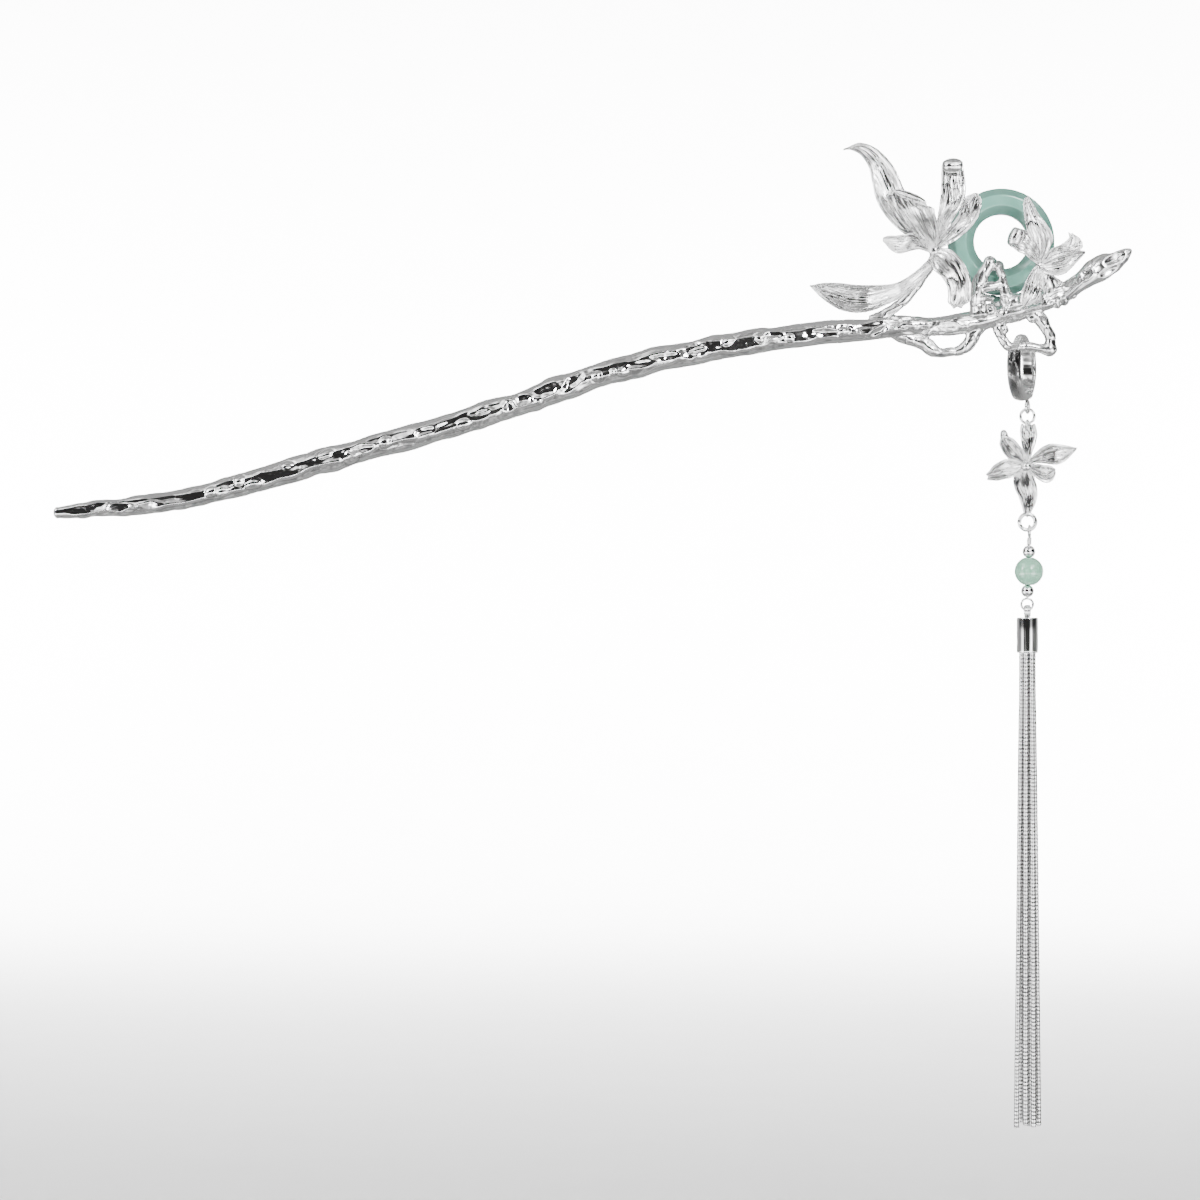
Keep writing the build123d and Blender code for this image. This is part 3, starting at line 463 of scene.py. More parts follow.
# Knots. Columns: across, down, y in mm, radius in mm.
KNOTS = (
    (932.5, 350.6, 0, 1.0), (1049.5, 349.3, 0, 1.12), (989.5, 263.6, -1.1, 1.05), (998, 267, -1.0, 0.88),
    (976, 289, -1.2, 0.95), (999.8, 313.6, -0.75, 0.85), (934, 251, -1.2, 0.95), (1038.4, 266.5, -1.2, 0.75),
    (1031.5, 318, -0.1, 0.75), (966.5, 326, -0.95, 0.7), (1063, 300, -0.6, 0.95), (1056, 303.5, -0.6, 0.85),
    (1073.5, 296.0, -0.2, 0.5), (1014, 303, -0.5, 1.5), (990, 309, -0.9, 0.9), (1044, 302, -0.6, 1.2),
    (955, 321.5, -0.8, 0.7), (927, 333, -0.9, 0.7), (1005, 330, -0.1, 0.7),
)

# Hollows and swellings on the front of the stick and trunk.
# Columns: across, down, half length, half height in steps, height in mm (minus for a hollow), tilt in degrees.
DENTS = (
    (98, 507, 9, 3.4, -0.18, 6), (120, 507, 12, 3.6, -0.20, 4), (150, 506, 12, 4.2, -0.18, 8),
    (212, 492, 6.5, 5.4, 0.28, 20), (228, 485, 12, 3.4, -0.2, 14), (240, 481, 6, 4.5, 0.24, 30),
    (254, 484.5, 9, 4.4, 0.22, 8), (288, 465, 6, 3.4, 0.2, 10), (327, 454.5, 8, 3.6, 0.22, 18),
    (352, 457.5, 9, 6.0, 0.26, 30), (364, 449, 14, 4.0, -0.32, 14), (386, 442.5, 6.5, 5.0, 0.3, 30),
    (424, 431.5, 11, 3.8, -0.26, 14), (464, 425, 7.5, 5.6, 0.28, 14), (481, 413, 11, 2.8, -0.26, 14),
    (509.5, 406.5, 6.5, 5.4, -0.34, 20), (522, 400, 8.5, 5.2, -0.4, 16), (541, 402.5, 3.2, 2.8, 0.32, 0),
    (545, 392, 15, 5.8, -0.42, 18), (573, 383, 16, 6.0, -0.44, 38), (597, 377, 5.5, 4.8, 0.3, 30),
    (613.5, 372.5, 3.8, 3.4, 0.28, 0), (622.5, 373.5, 5.5, 4.6, 0.24, 0), (640, 364.5, 14, 3.4, -0.2, 10),
    (695, 351.5, 18, 7.0, -0.46, 12), (697, 350.5, 9, 2.6, 0.2, 12), (728, 341.5, 5.5, 4.4, 0.3, 30),
    (760, 338.5, 5, 4.2, 0.26, 0), (773, 335.8, 9, 3.8, -0.32, 6), (789, 338.5, 4.5, 3.8, 0.26, 0),
    (826, 333.0, 15, 4.0, -0.3, 4), (843, 332, 6, 4.6, 0.28, 20), (876, 333, 12, 3.4, -0.42, 32),
    (914, 325, 15.5, 4.6, 0.24, 3), (914, 319.6, 14, 2.2, -0.22, 3), (914, 331.8, 13, 2.2, -0.20, 3),
    (947, 327.5, 15, 4.8, -0.16, 3), (1001, 313.6, 3.4, 3.4, -0.2, 0), (1086, 264.5, 6.5, 4.2, 0.2, 60),
    (1085.5, 274.5, 6, 4.4, -0.3, 40), (1115, 259.0, 12.5, 5.0, -0.6, 28), (1107.5, 271.5, 10.0, 3.4, -0.5, 30),
    (1070, 282, 9, 3.8, -0.24, 40),
)


def stick_rows():
    """The stick's run in millimetres."""
    rows = []
    for across, down, half, depth in STICK_RUN:
        x, y, z = at(across, down)
        rows.append((x, y, z, half * STEP, half * STEP * depth))
    return rows


def twig_rows(rows):
    return [(*at(across, down, y), half * STEP, depth) for across, down, y, half, depth in rows]


# The jade ring's middle and outer radius
RING_MIDDLE = (79.2, 2.0, 26.55)
RING_RADIUS = 8.0


def cradle_rows(y, lift):
    """A stretch of the seat that follows the foot of the jade ring."""
    rows = []
    for angle in np.radians(np.linspace(-112, -68, 7)):
        radius = RING_RADIUS + lift
        x, _, z = RING_MIDDLE
        rows.append((x + radius * math.cos(angle), y, z + radius * math.sin(angle), 0.45, 0.5))
    return rows


RUN = np.array(stick_rows())
RUN_REACH = np.concatenate([[0], np.cumsum(np.linalg.norm(np.diff(RUN[:, :3], axis=0), axis=1))])

# Ridges and grooves along the front of the stick.
# Columns: angle up from the front, width, both in radians, height in mm.
FLOW_LINES = (
    (0.66, 0.20, 0.08), (0.26, 0.24, -0.16), (-0.30, 0.16, 0.17), (-0.66, 0.20, -0.08),
)


def dent_shape(points, facing):
    """Height, calm and shadow that the placed hollows and swellings give to each point."""
    height = np.zeros(len(points))
    calm = np.ones(len(points))
    shade = np.zeros(len(points))
    for place_across, place_down, half_length, half_height, rise, tilt in DENTS:
        x, _, z = at(place_across, place_down)
        near = np.flatnonzero((np.abs(points[:, 0] - x) < 5) & (np.abs(points[:, 2] - z) < 5) & (facing > 0))
        if not len(near):
            continue
        dx, dz = points[near, 0] - x, points[near, 2] - z
        c, s = math.cos(math.radians(tilt)), math.sin(math.radians(tilt))
        u = (dx * c + dz * s) / (half_length * STEP)
        v = (-dx * s + dz * c) / (half_height * STEP)
        wobble = 0.25 * field(9, dx / 0.9, dz / 0.9, place_across * 0.37)
        r = np.sqrt(u * u + v * v) + wobble
        f = facing[near]
        well = np.clip(1 - r * r, 0, 1) ** (1.4 if rise < 0 else 0.9)
        rim = np.exp(-(((r - 1.15) / 0.2) ** 2))
        lip = 0.06 * rim if rise < 0 else -0.06 * rim
        height[near] += f * (0.8 * rise * well + lip)
        calm[near] *= 1 - 0.85 * smoothstep(1.4, 0.8, r) * f
        # painted shade: a dark band at each dent, on the upper side of a hollow and the lower side of a swelling, as
        # under light from above
        ring = 0.8 if rise < 0 else 1.08
        shadow_side = 0.5 + 0.5 * np.clip(v * (1 if rise < 0 else -1) + 0.4 * wobble, -1, 1)
        edge = 0.6 * np.exp(-(((r - ring) / 0.16) ** 2)) * shadow_side
        shade[near] = np.maximum(shade[near], f * edge)
    return height, calm, shade


def cast_surface(points, normals):
    """How far the casting's bark lifts each point along its normal, in mm, and how shaded it lies, from 0 to 1."""
    x, y = points[:, 0], points[:, 1]
    up = points[:, 2] - np.interp(x, RUN[:, 0], RUN[:, 2])
    half = np.interp(x, RUN[:, 0], RUN[:, 3])
    along = np.interp(x, RUN[:, 0], RUN_REACH)
    angle = np.arctan2(up, -y)
    on_stick = smoothstep(1.5, 1.12, np.hypot(up, y) / half)
    facing = smoothstep(0.1, -0.35, normals[:, 1])

    wander = angle + 0.42 * field(1, along / 6.0, angle * 0.5, 0) + 0.12 * field(2, along / 2.4, angle * 0.9, 0)
    flow = np.zeros_like(x)
    shade = np.zeros_like(x)
    for n, (place, width, rise) in enumerate(FLOW_LINES):
        amount = np.clip(0.75 + 0.9 * field(20 + n, along / 4.8, 0, 0), 0.15, 1.3)
        line = np.exp(-(((wander - place) / width) ** 2)) * amount
        flow += rise * line
        if rise < 0:
            shade = np.maximum(shade, 0.3 * np.exp(-(((wander - place) / (0.7 * width)) ** 2)) * amount)
    front_band = smoothstep(1.15, 0.8, np.abs(angle + 0.05))
    flow *= front_band
    shade *= front_band

    around = np.stack([along / 5.0, up, y], 1)
    seam = noise(around + 0.5 * noise(around * 1.7, 3)[:, None], 4)
    rear = smoothstep(1.2, 1.7, np.abs(angle))
    furrow = np.exp(-((seam / 0.16) ** 2)) * (0.25 + 0.75 * rear) * (1 - front_band)
    soft = field(5, along / 3.0, up / 1.9, y / 1.9) + 0.5 * field(16, along / 1.5, up / 1.2, y / 1.2)
    height, calm, dent_shade = dent_shape(points, facing)
    rough_patch = smoothstep(0.12, 0.4, field(7, along / 4.0, angle * 1.2, 0))
    grain = rough_patch * smoothstep(0.9, 0.5, np.abs(angle - 0.1)) * noise(points / 0.26, 14)
    pod = smoothstep(91.0, 93.0, x)
    flow *= 1 - 0.7 * pod
    bark = calm * (flow - 0.08 * furrow) + (0.13 + 0.06 * calm) * (1 - 0.6 * pod) * soft + 0.03 * grain * (1 - pod)
    bark_shade = np.maximum(calm * np.maximum(shade, 0.6 * furrow), dent_shade)

    lump = noise(points / 1.15, 10)
    crease = np.exp(-((noise(points / 1.5, 11) / 0.13) ** 2))
    twig = 0.10 * lump - 0.07 * crease
    twig_shade = 0.6 * crease
    lift = on_stick * bark + (1 - on_stick) * twig + height * (1 - on_stick) * 0.3 + height * on_stick
    shaded = on_stick * bark_shade + (1 - on_stick) * np.maximum(twig_shade, 0.5 * dent_shade)
    return lift, np.clip(shaded, 0, 1)


def grid_normals(rings):
    """Outward normals of a run of closed rings."""
    along = np.gradient(rings, axis=0)
    round_ = np.roll(rings, -1, 1) - np.roll(rings, 1, 1)
    normals = unit(np.cross(along, round_))
    middle = rings.mean(1, keepdims=True)
    flip = np.sign((normals * (rings - middle)).sum(-1).mean())
    return normals * flip


STICK_SPACING = 0.15
STICK_SIDES = 76
VOXEL_CROWN = 0.125

# Where the stick ends and the crown begins. Each runs on under the other by an overlap and sinks as it goes.
SPLIT_X = 57.0
STICK_OVERLAP = 1.2
CROWN_OVERLAP = 0.8
SPLIT_SINK = 0.25

run = tube_rings(stick_rows(), STICK_SIDES, STICK_SPACING)
run_x = run[:, :, 0].mean(1)
rings = run[run_x < SPLIT_X + STICK_OVERLAP]
flat_rings = rings.reshape(-1, 3)
normals = grid_normals(rings).reshape(-1, 3)
lift, shade = cast_surface(flat_rings, normals)
end_fade = smoothstep(-63.1, -58.5, flat_rings[:, 0])
lift *= 0.2 + 0.8 * end_fade
lift -= SPLIT_SINK * smoothstep(SPLIT_X + 0.3, SPLIT_X + STICK_OVERLAP, flat_rings[:, 0])
points, faces = skin((flat_rings + normals * lift[:, None]).reshape(rings.shape))
piece(
    "stick", (points, faces), silver_bark, "hair_stick", ("branch",), shade=np.append(shade, [0, 0])
)

thin_run = tube_rings(stick_rows(), 40, 0.3)
thin_x = thin_run[:, :, 0].mean(1)
crown_parts = [skin(thin_run[thin_x > SPLIT_X - CROWN_OVERLAP])]
for rows in TWIGS:
    crown_parts.append(skin(tube_rings(twig_rows(rows), 20, 0.2)))
for y, lift_out in ((1.1, 0.62), (2.0, 0.55), (2.9, 0.62)):
    crown_parts.append(skin(tube_rings(cradle_rows(y, lift_out), 16, 0.2)))
seat_foot = ((79.2, 1.7, 18.0, 1.3, 1.2), (79.1, 1.2, 16.8, 1.6, 1.5), (79.0, 0.4, 15.4, 1.6, 1.5))
crown_parts.append(skin(tube_rings(seat_foot)))
for across, down, y, radius in KNOTS:
    crown_parts.append(ball(at(across, down, y), radius))
points, faces, normals = melt(crown_parts, VOXEL_CROWN, 3)
lift, shade = cast_surface(points, normals)
cut = (normals[:, 0] < -0.9) & (points[:, 0] < SPLIT_X)
lift = np.where(cut, 0, lift - SPLIT_SINK * smoothstep(SPLIT_X + 0.3, SPLIT_X - 0.6, points[:, 0]))
piece(
    "crown", (points + normals * lift[:, None], faces), silver_crown, "hair_stick", ("branch",),
    shade=shade
)

# Petals

PETAL_ROWS = 84
FRONT_POINTS = 65
BACK_POINTS = 17
RIM_STEP = 0.06
VEIN_HEIGHT = 0.11
FIBRE_HEIGHT = 0.045
WAVE_HEIGHT = 0.30
RIM_HEIGHT = 0.17


def petal(spec, middle_y, index):
    """A petal between its two edges: cupped, veined, with a raised rim. Points, faces, lay and shade."""
    left = resample([at(a, d) for a, d in spec["left"]], PETAL_ROWS)
    right = resample([at(a, d) for a, d in spec["right"]], PETAL_ROWS)
    centre = (left + right) / 2
    centre[:, 1] = middle_y + spread(spec["depth"], PETAL_ROWS)
    half = (right - left) / 2
    width = np.linalg.norm(half, axis=1)
    side = unit(half)
    for n in range(1, PETAL_ROWS):
        if width[n] < 0.12:
            side[n] = side[n - 1]
    cup = spread(spec["cup"], PETAL_ROWS)
    width = np.maximum(width - RIM_STEP, 0.09)
    tangent = unit(np.gradient(centre, axis=0))
    if "roll" in spec:
        radius, turn = spec["roll"]
        steps = 20
        angle = np.radians(np.linspace(0, turn, steps + 1)[1:])[:, None]
        face = np.cross(side[-1], tangent[-1])
        face = face * -np.sign(face[1]) * np.sign(radius)
        radius = abs(radius)
        ahead = tangent[-1] - side[-1] * side[-1].dot(tangent[-1])
        ahead = ahead / np.linalg.norm(ahead)
        curl = centre[-1] + radius * (np.sin(angle) * ahead + (1 - np.cos(angle)) * face)
        centre = np.vstack([centre, curl])
        tangent = np.vstack([tangent, np.cos(angle) * ahead + np.sin(angle) * face])
        side = np.vstack([side, np.repeat(side[-1:], steps, 0)])
        width = np.concatenate([width, width[-1] * np.linspace(1.0, 0.8, steps)])
        cup = np.concatenate([cup, cup[-1] * np.linspace(1, 0.1, steps)])
    count = len(centre)
    normal = np.cross(side, tangent)
    normal = unit(normal * (-1 if normal[:PETAL_ROWS, 1].mean() > 0 else 1))
    reach = np.concatenate([[0], np.cumsum(np.linalg.norm(np.diff(centre, axis=0), axis=1))])
    u = (reach / reach[-1])[:, None]
    v = np.linspace(-1, 1, FRONT_POINTS)[None]
    wide = width[:, None]
    edge = (1 - np.abs(v)) * wide
    rim_left, rim_right = spec.get("rims", (0.4, 0.4))
    rim = np.minimum(np.where(v > 0, rim_right, rim_left), 0.45 * wide)
    calm = smoothstep(0.0, 0.12, u) * smoothstep(1.0, 0.93, u)
    veins = spec.get("veins", 8)
    own = index * 3.1
    drift = field(8, v * veins * 0.7, u * 3.0, own)
    wave = field(12, v * wide * 0.7, reach[:, None] * 0.3, own)
    lines = np.abs(np.cos(math.pi * veins * v / 2 + 1.8 * drift))
    inner = smoothstep(rim, rim + 0.2, edge)
    fibre = field(13, v * wide / 0.21, reach[:, None] / 3.4, own)
    strength = np.clip(0.7 + 0.6 * field(15, v * veins, u * 2.5, own), 0, 1.3)
    relief = (VEIN_HEIGHT * (np.sqrt(lines) - 0.7) * strength + FIBRE_HEIGHT * fibre) * inner * calm
    relief = relief + WAVE_HEIGHT * wave * inner
    along_rim = smoothstep(0.03, 0.14, u)
    roundness = np.sqrt(np.clip(1 - ((edge - rim / 2) / (rim / 2 + 0.02)) ** 2, 0, 1))
    relief = relief + (RIM_HEIGHT * roundness - 0.07 * np.exp(-(((edge - rim - 0.07) / 0.1) ** 2))) * along_rim
    # painted shade: darker along the vein lines, the fibres and a line inside the rim, and by grey in patches over
    # the body
    shade = 0.6 * smoothstep(0.4, 0.05, lines) * inner * calm * strength
    shade = np.maximum(shade, 0.5 * smoothstep(-0.2, -0.6, fibre) * inner * calm)
    shade = np.maximum(shade, spec.get("grey", 0.0) * inner * smoothstep(-0.55, 0.25, wave + 0.5 * fibre))
    broken = 0.35 + 0.65 * smoothstep(-0.3, 0.3, wave)
    shade = np.maximum(shade, 0.6 * np.exp(-(((edge - rim - 0.05) / 0.08) ** 2)) * along_rim * broken)
    front_height = relief - cup[:, None] * (1 - v * v)
    front = centre[:, None] + side[:, None] * (wide * v)[..., None] + normal[:, None] * front_height[..., None]
    w = np.linspace(1, -1, BACK_POINTS)[None]
    thick = (0.26 + 0.26 * np.sqrt(np.clip(1 - w * w, 0, 1))) * (0.4 + 0.6 * smoothstep(0.05, 0.6, wide))
    back_height = -cup[:, None] * (1 - w * w) - thick
    back = centre[:, None] + side[:, None] * (wide * w)[..., None] + normal[:, None] * back_height[..., None]
    right_rim = centre + side * (width + RIM_STEP)[:, None] + normal * -0.1
    left_rim = centre - side * (width + RIM_STEP)[:, None] + normal * -0.1
    rings = np.concatenate([front, right_rim[:, None], back, left_rim[:, None]], 1)
    across = np.concatenate([wide * v, wide + RIM_STEP, wide * w, -wide - RIM_STEP], 1)
    lay = np.stack([across, np.repeat(reach[:, None], rings.shape[1], 1), np.full_like(across, index * 7.0)], -1)
    # painted shade along the veins on the back
    back_shade = 0.25 * np.abs(np.cos(math.pi * veins * w)) * np.ones((count, 1))
    shade = np.concatenate([shade, np.zeros((count, 1)), back_shade, np.zeros((count, 1))], 1)
    points, faces = skin(rings)
    lay = lay.reshape(-1, 3)
    return points, faces, np.vstack([lay, lay[:1], lay[-1:]]), np.append(shade.ravel(), [0, 0])


def flower(name, petals, middle_y, material, body, nodes, extra=()):
    """All the petals of one flower as a piece."""
    shapes, lays, shades = [], [], []
    for index, spec in enumerate(petals):
        points, faces, lay, shade = petal(spec, middle_y, index + 1)
        shapes.append((points, faces))
        lays.append(lay)
        shades.append(shade)
    for shape in extra:
        shapes.append(shape)
        lays.append(np.zeros_like(shape[0]))
        shades.append(np.zeros(len(shape[0])))
    return piece(
        name, join(shapes), material, body, nodes, lay=np.vstack(lays), shade=np.concatenate(shades)
    )


# Petals of the large orchid. Left and right edges run from the flower's middle to the tip;
# depth and cup are read evenly from the middle to the tip, in mm.
LARGE_PETALS = (
    dict(
        left=((929, 250), (915, 244), (898, 233), (886, 222), (875, 205), (870, 185), (867, 170), (856.5, 155),
            (848, 151.5), (842.5, 151.3)),
        right=((933, 244), (922, 228), (908, 208), (903.5, 196), (900, 188), (893, 172), (883, 158.5), (872, 149),
            (858, 144.6), (842.5, 151)),
        depth=(0.0, -1.5, -2.8, -3.4, -3.2, -2.4, -1.4, -0.8), cup=(0.1, 0.5, 0.8, 0.8, 0.7, 0.4, 0.3, 0.1),
        veins=6, rims=(0.35, 0.75),
    ),
    dict(
        left=((929, 250), (919, 243), (907, 230), (897, 215), (890, 203), (888.6, 196)),
        right=((936, 246), (937.6, 238), (935.5, 228), (932.4, 218), (930.5, 211.5), (924, 209.4)),
        depth=(-0.5, -2.0, -3.6, -4.4, -4.3), cup=(0.1, 0.6, 0.9, 0.9, 0.5), veins=6, roll=(0.32, 135),
    ),
    dict(
        left=((931, 254.5), (917, 251.5), (905, 254.6), (896.5, 256.3), (889.6, 253.6), (884, 248), (880.3, 243.4)),
        right=((931, 246), (921, 239.5), (912, 235), (902, 236.8), (893, 238.2), (886, 238.4), (881, 240)),
        depth=(-0.2, -1.8, -3.0, -3.4, -3.4), cup=(0.1, 0.4, 0.5, 0.4, 0.15), veins=5,
    ),
    dict(
        left=((931, 250), (933.4, 236), (935, 222), (937, 208), (938.4, 194), (938.9, 180), (939.6, 170.5)),
        right=((937, 249), (943.5, 235), (953.5, 218), (961, 204), (963.4, 194), (962.8, 181), (961.2, 170.0)),
        depth=(-0.1, -1.4, -2.5, -3.0, -2.7, -2.3), cup=(0.1, 0.5, 0.7, 0.7, 0.6, 0.4), veins=6, roll=(0.5, 250),
    ),
    dict(
        left=((932.5, 248.5), (938.5, 239), (947.6, 228), (956, 217.5), (958.6, 206.5), (964, 198.4),
            (972.6, 194.8)),
        right=((934, 252.5), (942, 248.5), (953, 243), (964, 234.6), (973.5, 223.6), (978.8, 212), (979.6, 201.4),
            (975.6, 195.2)),
        depth=(-0.2, -1.4, -2.4, -2.5, -2.0, -1.6), cup=(0.1, 0.4, 0.6, 0.6, 0.5, 0.2), veins=5,
    ),
    dict(
        left=((928.6, 258.5), (928.6, 264), (932.4, 272), (940, 279.6), (944.6, 288), (946.0, 297), (946.3, 304.6),
            (950, 307.8)),
        right=((939, 248.6), (949, 250.5), (957, 258), (963.5, 268), (968.4, 280.5), (969.3, 292), (968.2, 302.6),
            (961.5, 307.2)),
        depth=(-0.2, -1.4, -2.2, -2.4, -2.0, -1.6), cup=(0.1, 0.3, 0.5, 0.5, 0.3, 0.2), veins=7, roll=(-0.3, 80),
    ),
    dict(
        left=((934, 253), (925.5, 262), (911, 275), (894, 284.8), (872, 287.2), (852.7, 286.8), (836, 284.6),
            (822, 284.4), (808.8, 286.8)),
        right=((936.5, 256), (930, 270), (916, 287), (901, 298.6), (887, 306), (870, 313), (853, 315), (838, 311.6),
            (825, 303.6), (815, 294.6), (808.8, 287.4)),
        depth=(0.0, -0.9, -1.6, -2.6, -3.3, -3.3, -2.7, -1.9, -1.4),
        cup=(0.1, 0.4, 0.6, 0.8, 0.9, 0.9, 0.7, 0.4, 0.1), veins=6,
    ),
)

SMALL_PETALS = (
    dict(
        left=((1037.4, 264), (1030, 246), (1023.3, 229), (1021.6, 216), (1021.2, 204), (1023.6, 198.6)),
        right=((1041.6, 263), (1047.6, 251), (1050.8, 242.4), (1049.6, 235.4), (1044.8, 226.8), (1038.4, 219),
            (1032, 207.6), (1026.6, 198.2)),
        depth=(0.0, -1.2, -2.0, -2.2, -1.8, -1.3), cup=(0.1, 0.4, 0.5, 0.5, 0.4, 0.1), veins=5, rims=(0.3, 0.65),
    ),
    dict(
        left=((1038.5, 266.6), (1029.6, 262.4), (1022.0, 256.6), (1015.6, 253.6), (1010.6, 249.4)),
        right=((1041, 261.5), (1037.4, 249.4), (1031, 239.6), (1024.4, 232.4), (1018.4, 230.6)),
        depth=(0.0, -1.2, -1.9, -2.0, -1.7), cup=(0.1, 0.3, 0.4, 0.3, 0.2), veins=7, roll=(0.55, 260),
    ),
    dict(
        left=((1041, 263.4), (1044.6, 254.4), (1051, 249.8), (1057.4, 246.8), (1063, 243), (1066.6, 238.4),
            (1065.6, 234.6)),
        right=((1042.5, 265.4), (1050, 260.4), (1058.6, 257), (1067, 254.6), (1075, 253.6), (1079.8, 249),
            (1078.4, 241.4), (1070.6, 235.8)),
        depth=(0.0, -1.2, -2.1, -2.4, -2.2, -1.9), cup=(0.1, 0.3, 0.4, 0.4, 0.3, 0.1), veins=5,
    ),
    dict(
        left=((1040, 264.4), (1049.4, 260), (1060.6, 256.4), (1070, 253.4), (1077, 252.4), (1082.2, 253.4)),
        right=((1037.6, 269.4), (1041.6, 273.6), (1049.4, 276.8), (1056, 277.4), (1062.2, 275.6), (1067.8, 271),
            (1075, 263.4), (1082.2, 255.8)),
        depth=(0.0, -1.4, -2.3, -2.7, -2.7), cup=(0.1, 0.5, 0.6, 0.5, 0.15), veins=6, rims=(0.3, 0.7),
    ),
    dict(
        left=((1036, 264), (1031, 270), (1025.4, 279), (1021.2, 288), (1018.8, 296), (1018.4, 303), (1021, 307.4)),
        right=((1041.6, 265.6), (1041.8, 274), (1041.4, 285), (1040, 293), (1036.4, 301), (1031, 305.4),
            (1024.4, 308)),
        depth=(0.0, -0.9, -1.4, -1.4, -1.0), cup=(0.1, 0.4, 0.5, 0.4, 0.15), veins=5,
    ),
)

# Petals of the charm; grey is how much painted shade darkens each petal's body
CHARM_PETALS = (
    dict(
        left=((1023.4, 464), (1022.6, 452), (1020.6, 441), (1019.8, 432), (1020.4, 426.6)),
        right=((1029, 464), (1032.4, 452), (1036.0, 441), (1037.2, 432), (1036.0, 426.6)),
        depth=(-0.1, -0.5, -0.6, -0.4, 0.0), cup=(0.1, 0.3, 0.4, 0.3, 0.2), veins=5, roll=(-0.45, 200), grey=0.55,
    ),
    dict(
        left=((1026.6, 464), (1031, 457), (1036.6, 451), (1042.6, 446.4), (1050, 443.8), (1058, 444.2),
            (1068, 445.6), (1076.8, 447.6)),
        right=((1028.6, 467), (1036, 463.6), (1044, 463.8), (1051, 464.8), (1058, 464.6), (1066, 460.6),
            (1071.4, 455.6), (1076.8, 449.4)),
        depth=(-0.1, -0.6, -0.9, -0.9, -0.5, -0.1), cup=(0.1, 0.4, 0.5, 0.4, 0.3, 0.1), veins=5, rims=(0.5, 0.4),
        grey=0.55,
    ),
    dict(
        left=((1028, 465.6), (1036, 464), (1044, 465), (1051, 466), (1055, 468.4)),
        right=((1027.4, 470), (1034, 476.6), (1041, 481.6), (1047.4, 483), (1052.8, 480.4), (1055.6, 474)),
        depth=(0.1, -0.3, -0.5, -0.4, -0.2), cup=(0.1, 0.3, 0.3, 0.2, 0.1), veins=5, grey=0.45,
    ),
    dict(
        left=((1024, 467), (1018.6, 470.4), (1013.2, 477.4), (1013.6, 487), (1017.6, 496), (1020.6, 504),
            (1023.4, 512.6)),
        right=((1029.6, 468), (1033.6, 475.6), (1036, 484), (1037.2, 493), (1036, 502), (1033.2, 508.6),
            (1030.6, 513.8)),
        depth=(-0.1, -0.5, -0.7, -0.6, -0.3, 0.0), cup=(0.1, 0.4, 0.5, 0.5, 0.3, 0.1), veins=6, roll=(-0.35, 140),
        rims=(0.6, 0.55), grey=0.6,
    ),
    dict(
        left=((1025, 468.6), (1018.6, 474), (1012, 477.6), (1004, 479.4), (996.6, 481), (989.6, 480.6)),
        right=((1024.6, 463.4), (1014.6, 460), (1006, 459), (999.4, 461.4), (993, 465.4), (987.4, 472.4)),
        depth=(-0.1, -0.6, -0.9, -0.8, -0.5), cup=(0.1, 0.4, 0.5, 0.4, 0.2), veins=5, roll=(-0.25, 90), grey=0.45,
    ),
    dict(
        left=((1024.4, 466), (1016, 463.4), (1007.6, 458.6), (1001.4, 450.6), (998.8, 442.8), (1000.2, 438)),
        right=((1028, 463.4), (1026.6, 457), (1023.2, 450.6), (1018.4, 444.6), (1013.4, 439), (1008, 436)),
        depth=(-0.1, -0.6, -0.8, -0.6), cup=(0.1, 0.4, 0.4, 0.3), veins=5, roll=(0.35, 220), grey=0.45,
    ),
)

flower("orchid_large", LARGE_PETALS, LARGE_MIDDLE_Y, silver_petal, "hair_stick", ("branch",))
flower("orchid_small", SMALL_PETALS, SMALL_MIDDLE_Y, silver_petal, "hair_stick", ("branch",))


def square_to(axis):
    """The axis at length one, and two directions square to it."""
    axis = unit([axis])[0]
    one = unit([np.cross(axis, (0.31, 0.17, 0.93))])[0]
    return axis, one, np.cross(axis, one)


def wire_rings(centre, axis, radius, wire, angles, sides):
    """Rings of wire set round an axis at each of the angles."""
    axis, one, two = square_to(axis)
    a = angles[:, None]
    b = np.linspace(0, 2 * math.pi, sides, endpoint=False)[None]
    out = one * np.cos(a)[..., None] + two * np.sin(a)[..., None]
    return np.asarray(centre) + out * (radius + wire * np.cos(b))[..., None] + axis * (wire * np.sin(b))[..., None]


def torus(centre, axis, radius, wire):
    """A closed round link."""
    angles = np.linspace(0, 2 * math.pi, 72, endpoint=False)
    return skin(wire_rings(centre, axis, radius, wire, angles, 16), looped=True)


def jump_ring(centre, axis, radius, wire, seam):
    """A round link cut across at one place, its ends pushed shut."""
    angles = np.radians(seam + np.linspace(1.2, 358.8, 90))
    thin = np.full((90, 1), wire)
    thin[[0, -1]] *= 0.8
    return skin(wire_rings(centre, axis, radius, thin, angles, 18))


# The line that the drop hangs on
DROP_X = 83.0
DROP_Y = -0.1


def drop_at(z, *more):
    return (DROP_X, DROP_Y, z, *more)


# The bail's hoop is turned a little from the side
BAIL_TURN = math.radians(20)
BAIL_BACK = (math.sin(BAIL_TURN), math.cos(BAIL_TURN), 0.0)
BAIL_AXIS = (math.cos(BAIL_TURN), -math.sin(BAIL_TURN), 0.0)

charm_extra = [
    torus(drop_at(-0.92), BAIL_AXIS, 0.55, 0.16),
    torus(drop_at(-14.14), (1, 0, 0), 0.62, 0.16),
    ball((82.8, -1.0, -7.32), 0.78),
]
flower("charm_orchid_cast", CHARM_PETALS, CHARM_MIDDLE_Y, silver_petal, "drop", ("charm_orchid",), charm_extra)


# Jade ring: a turned profile with softened bevel edges


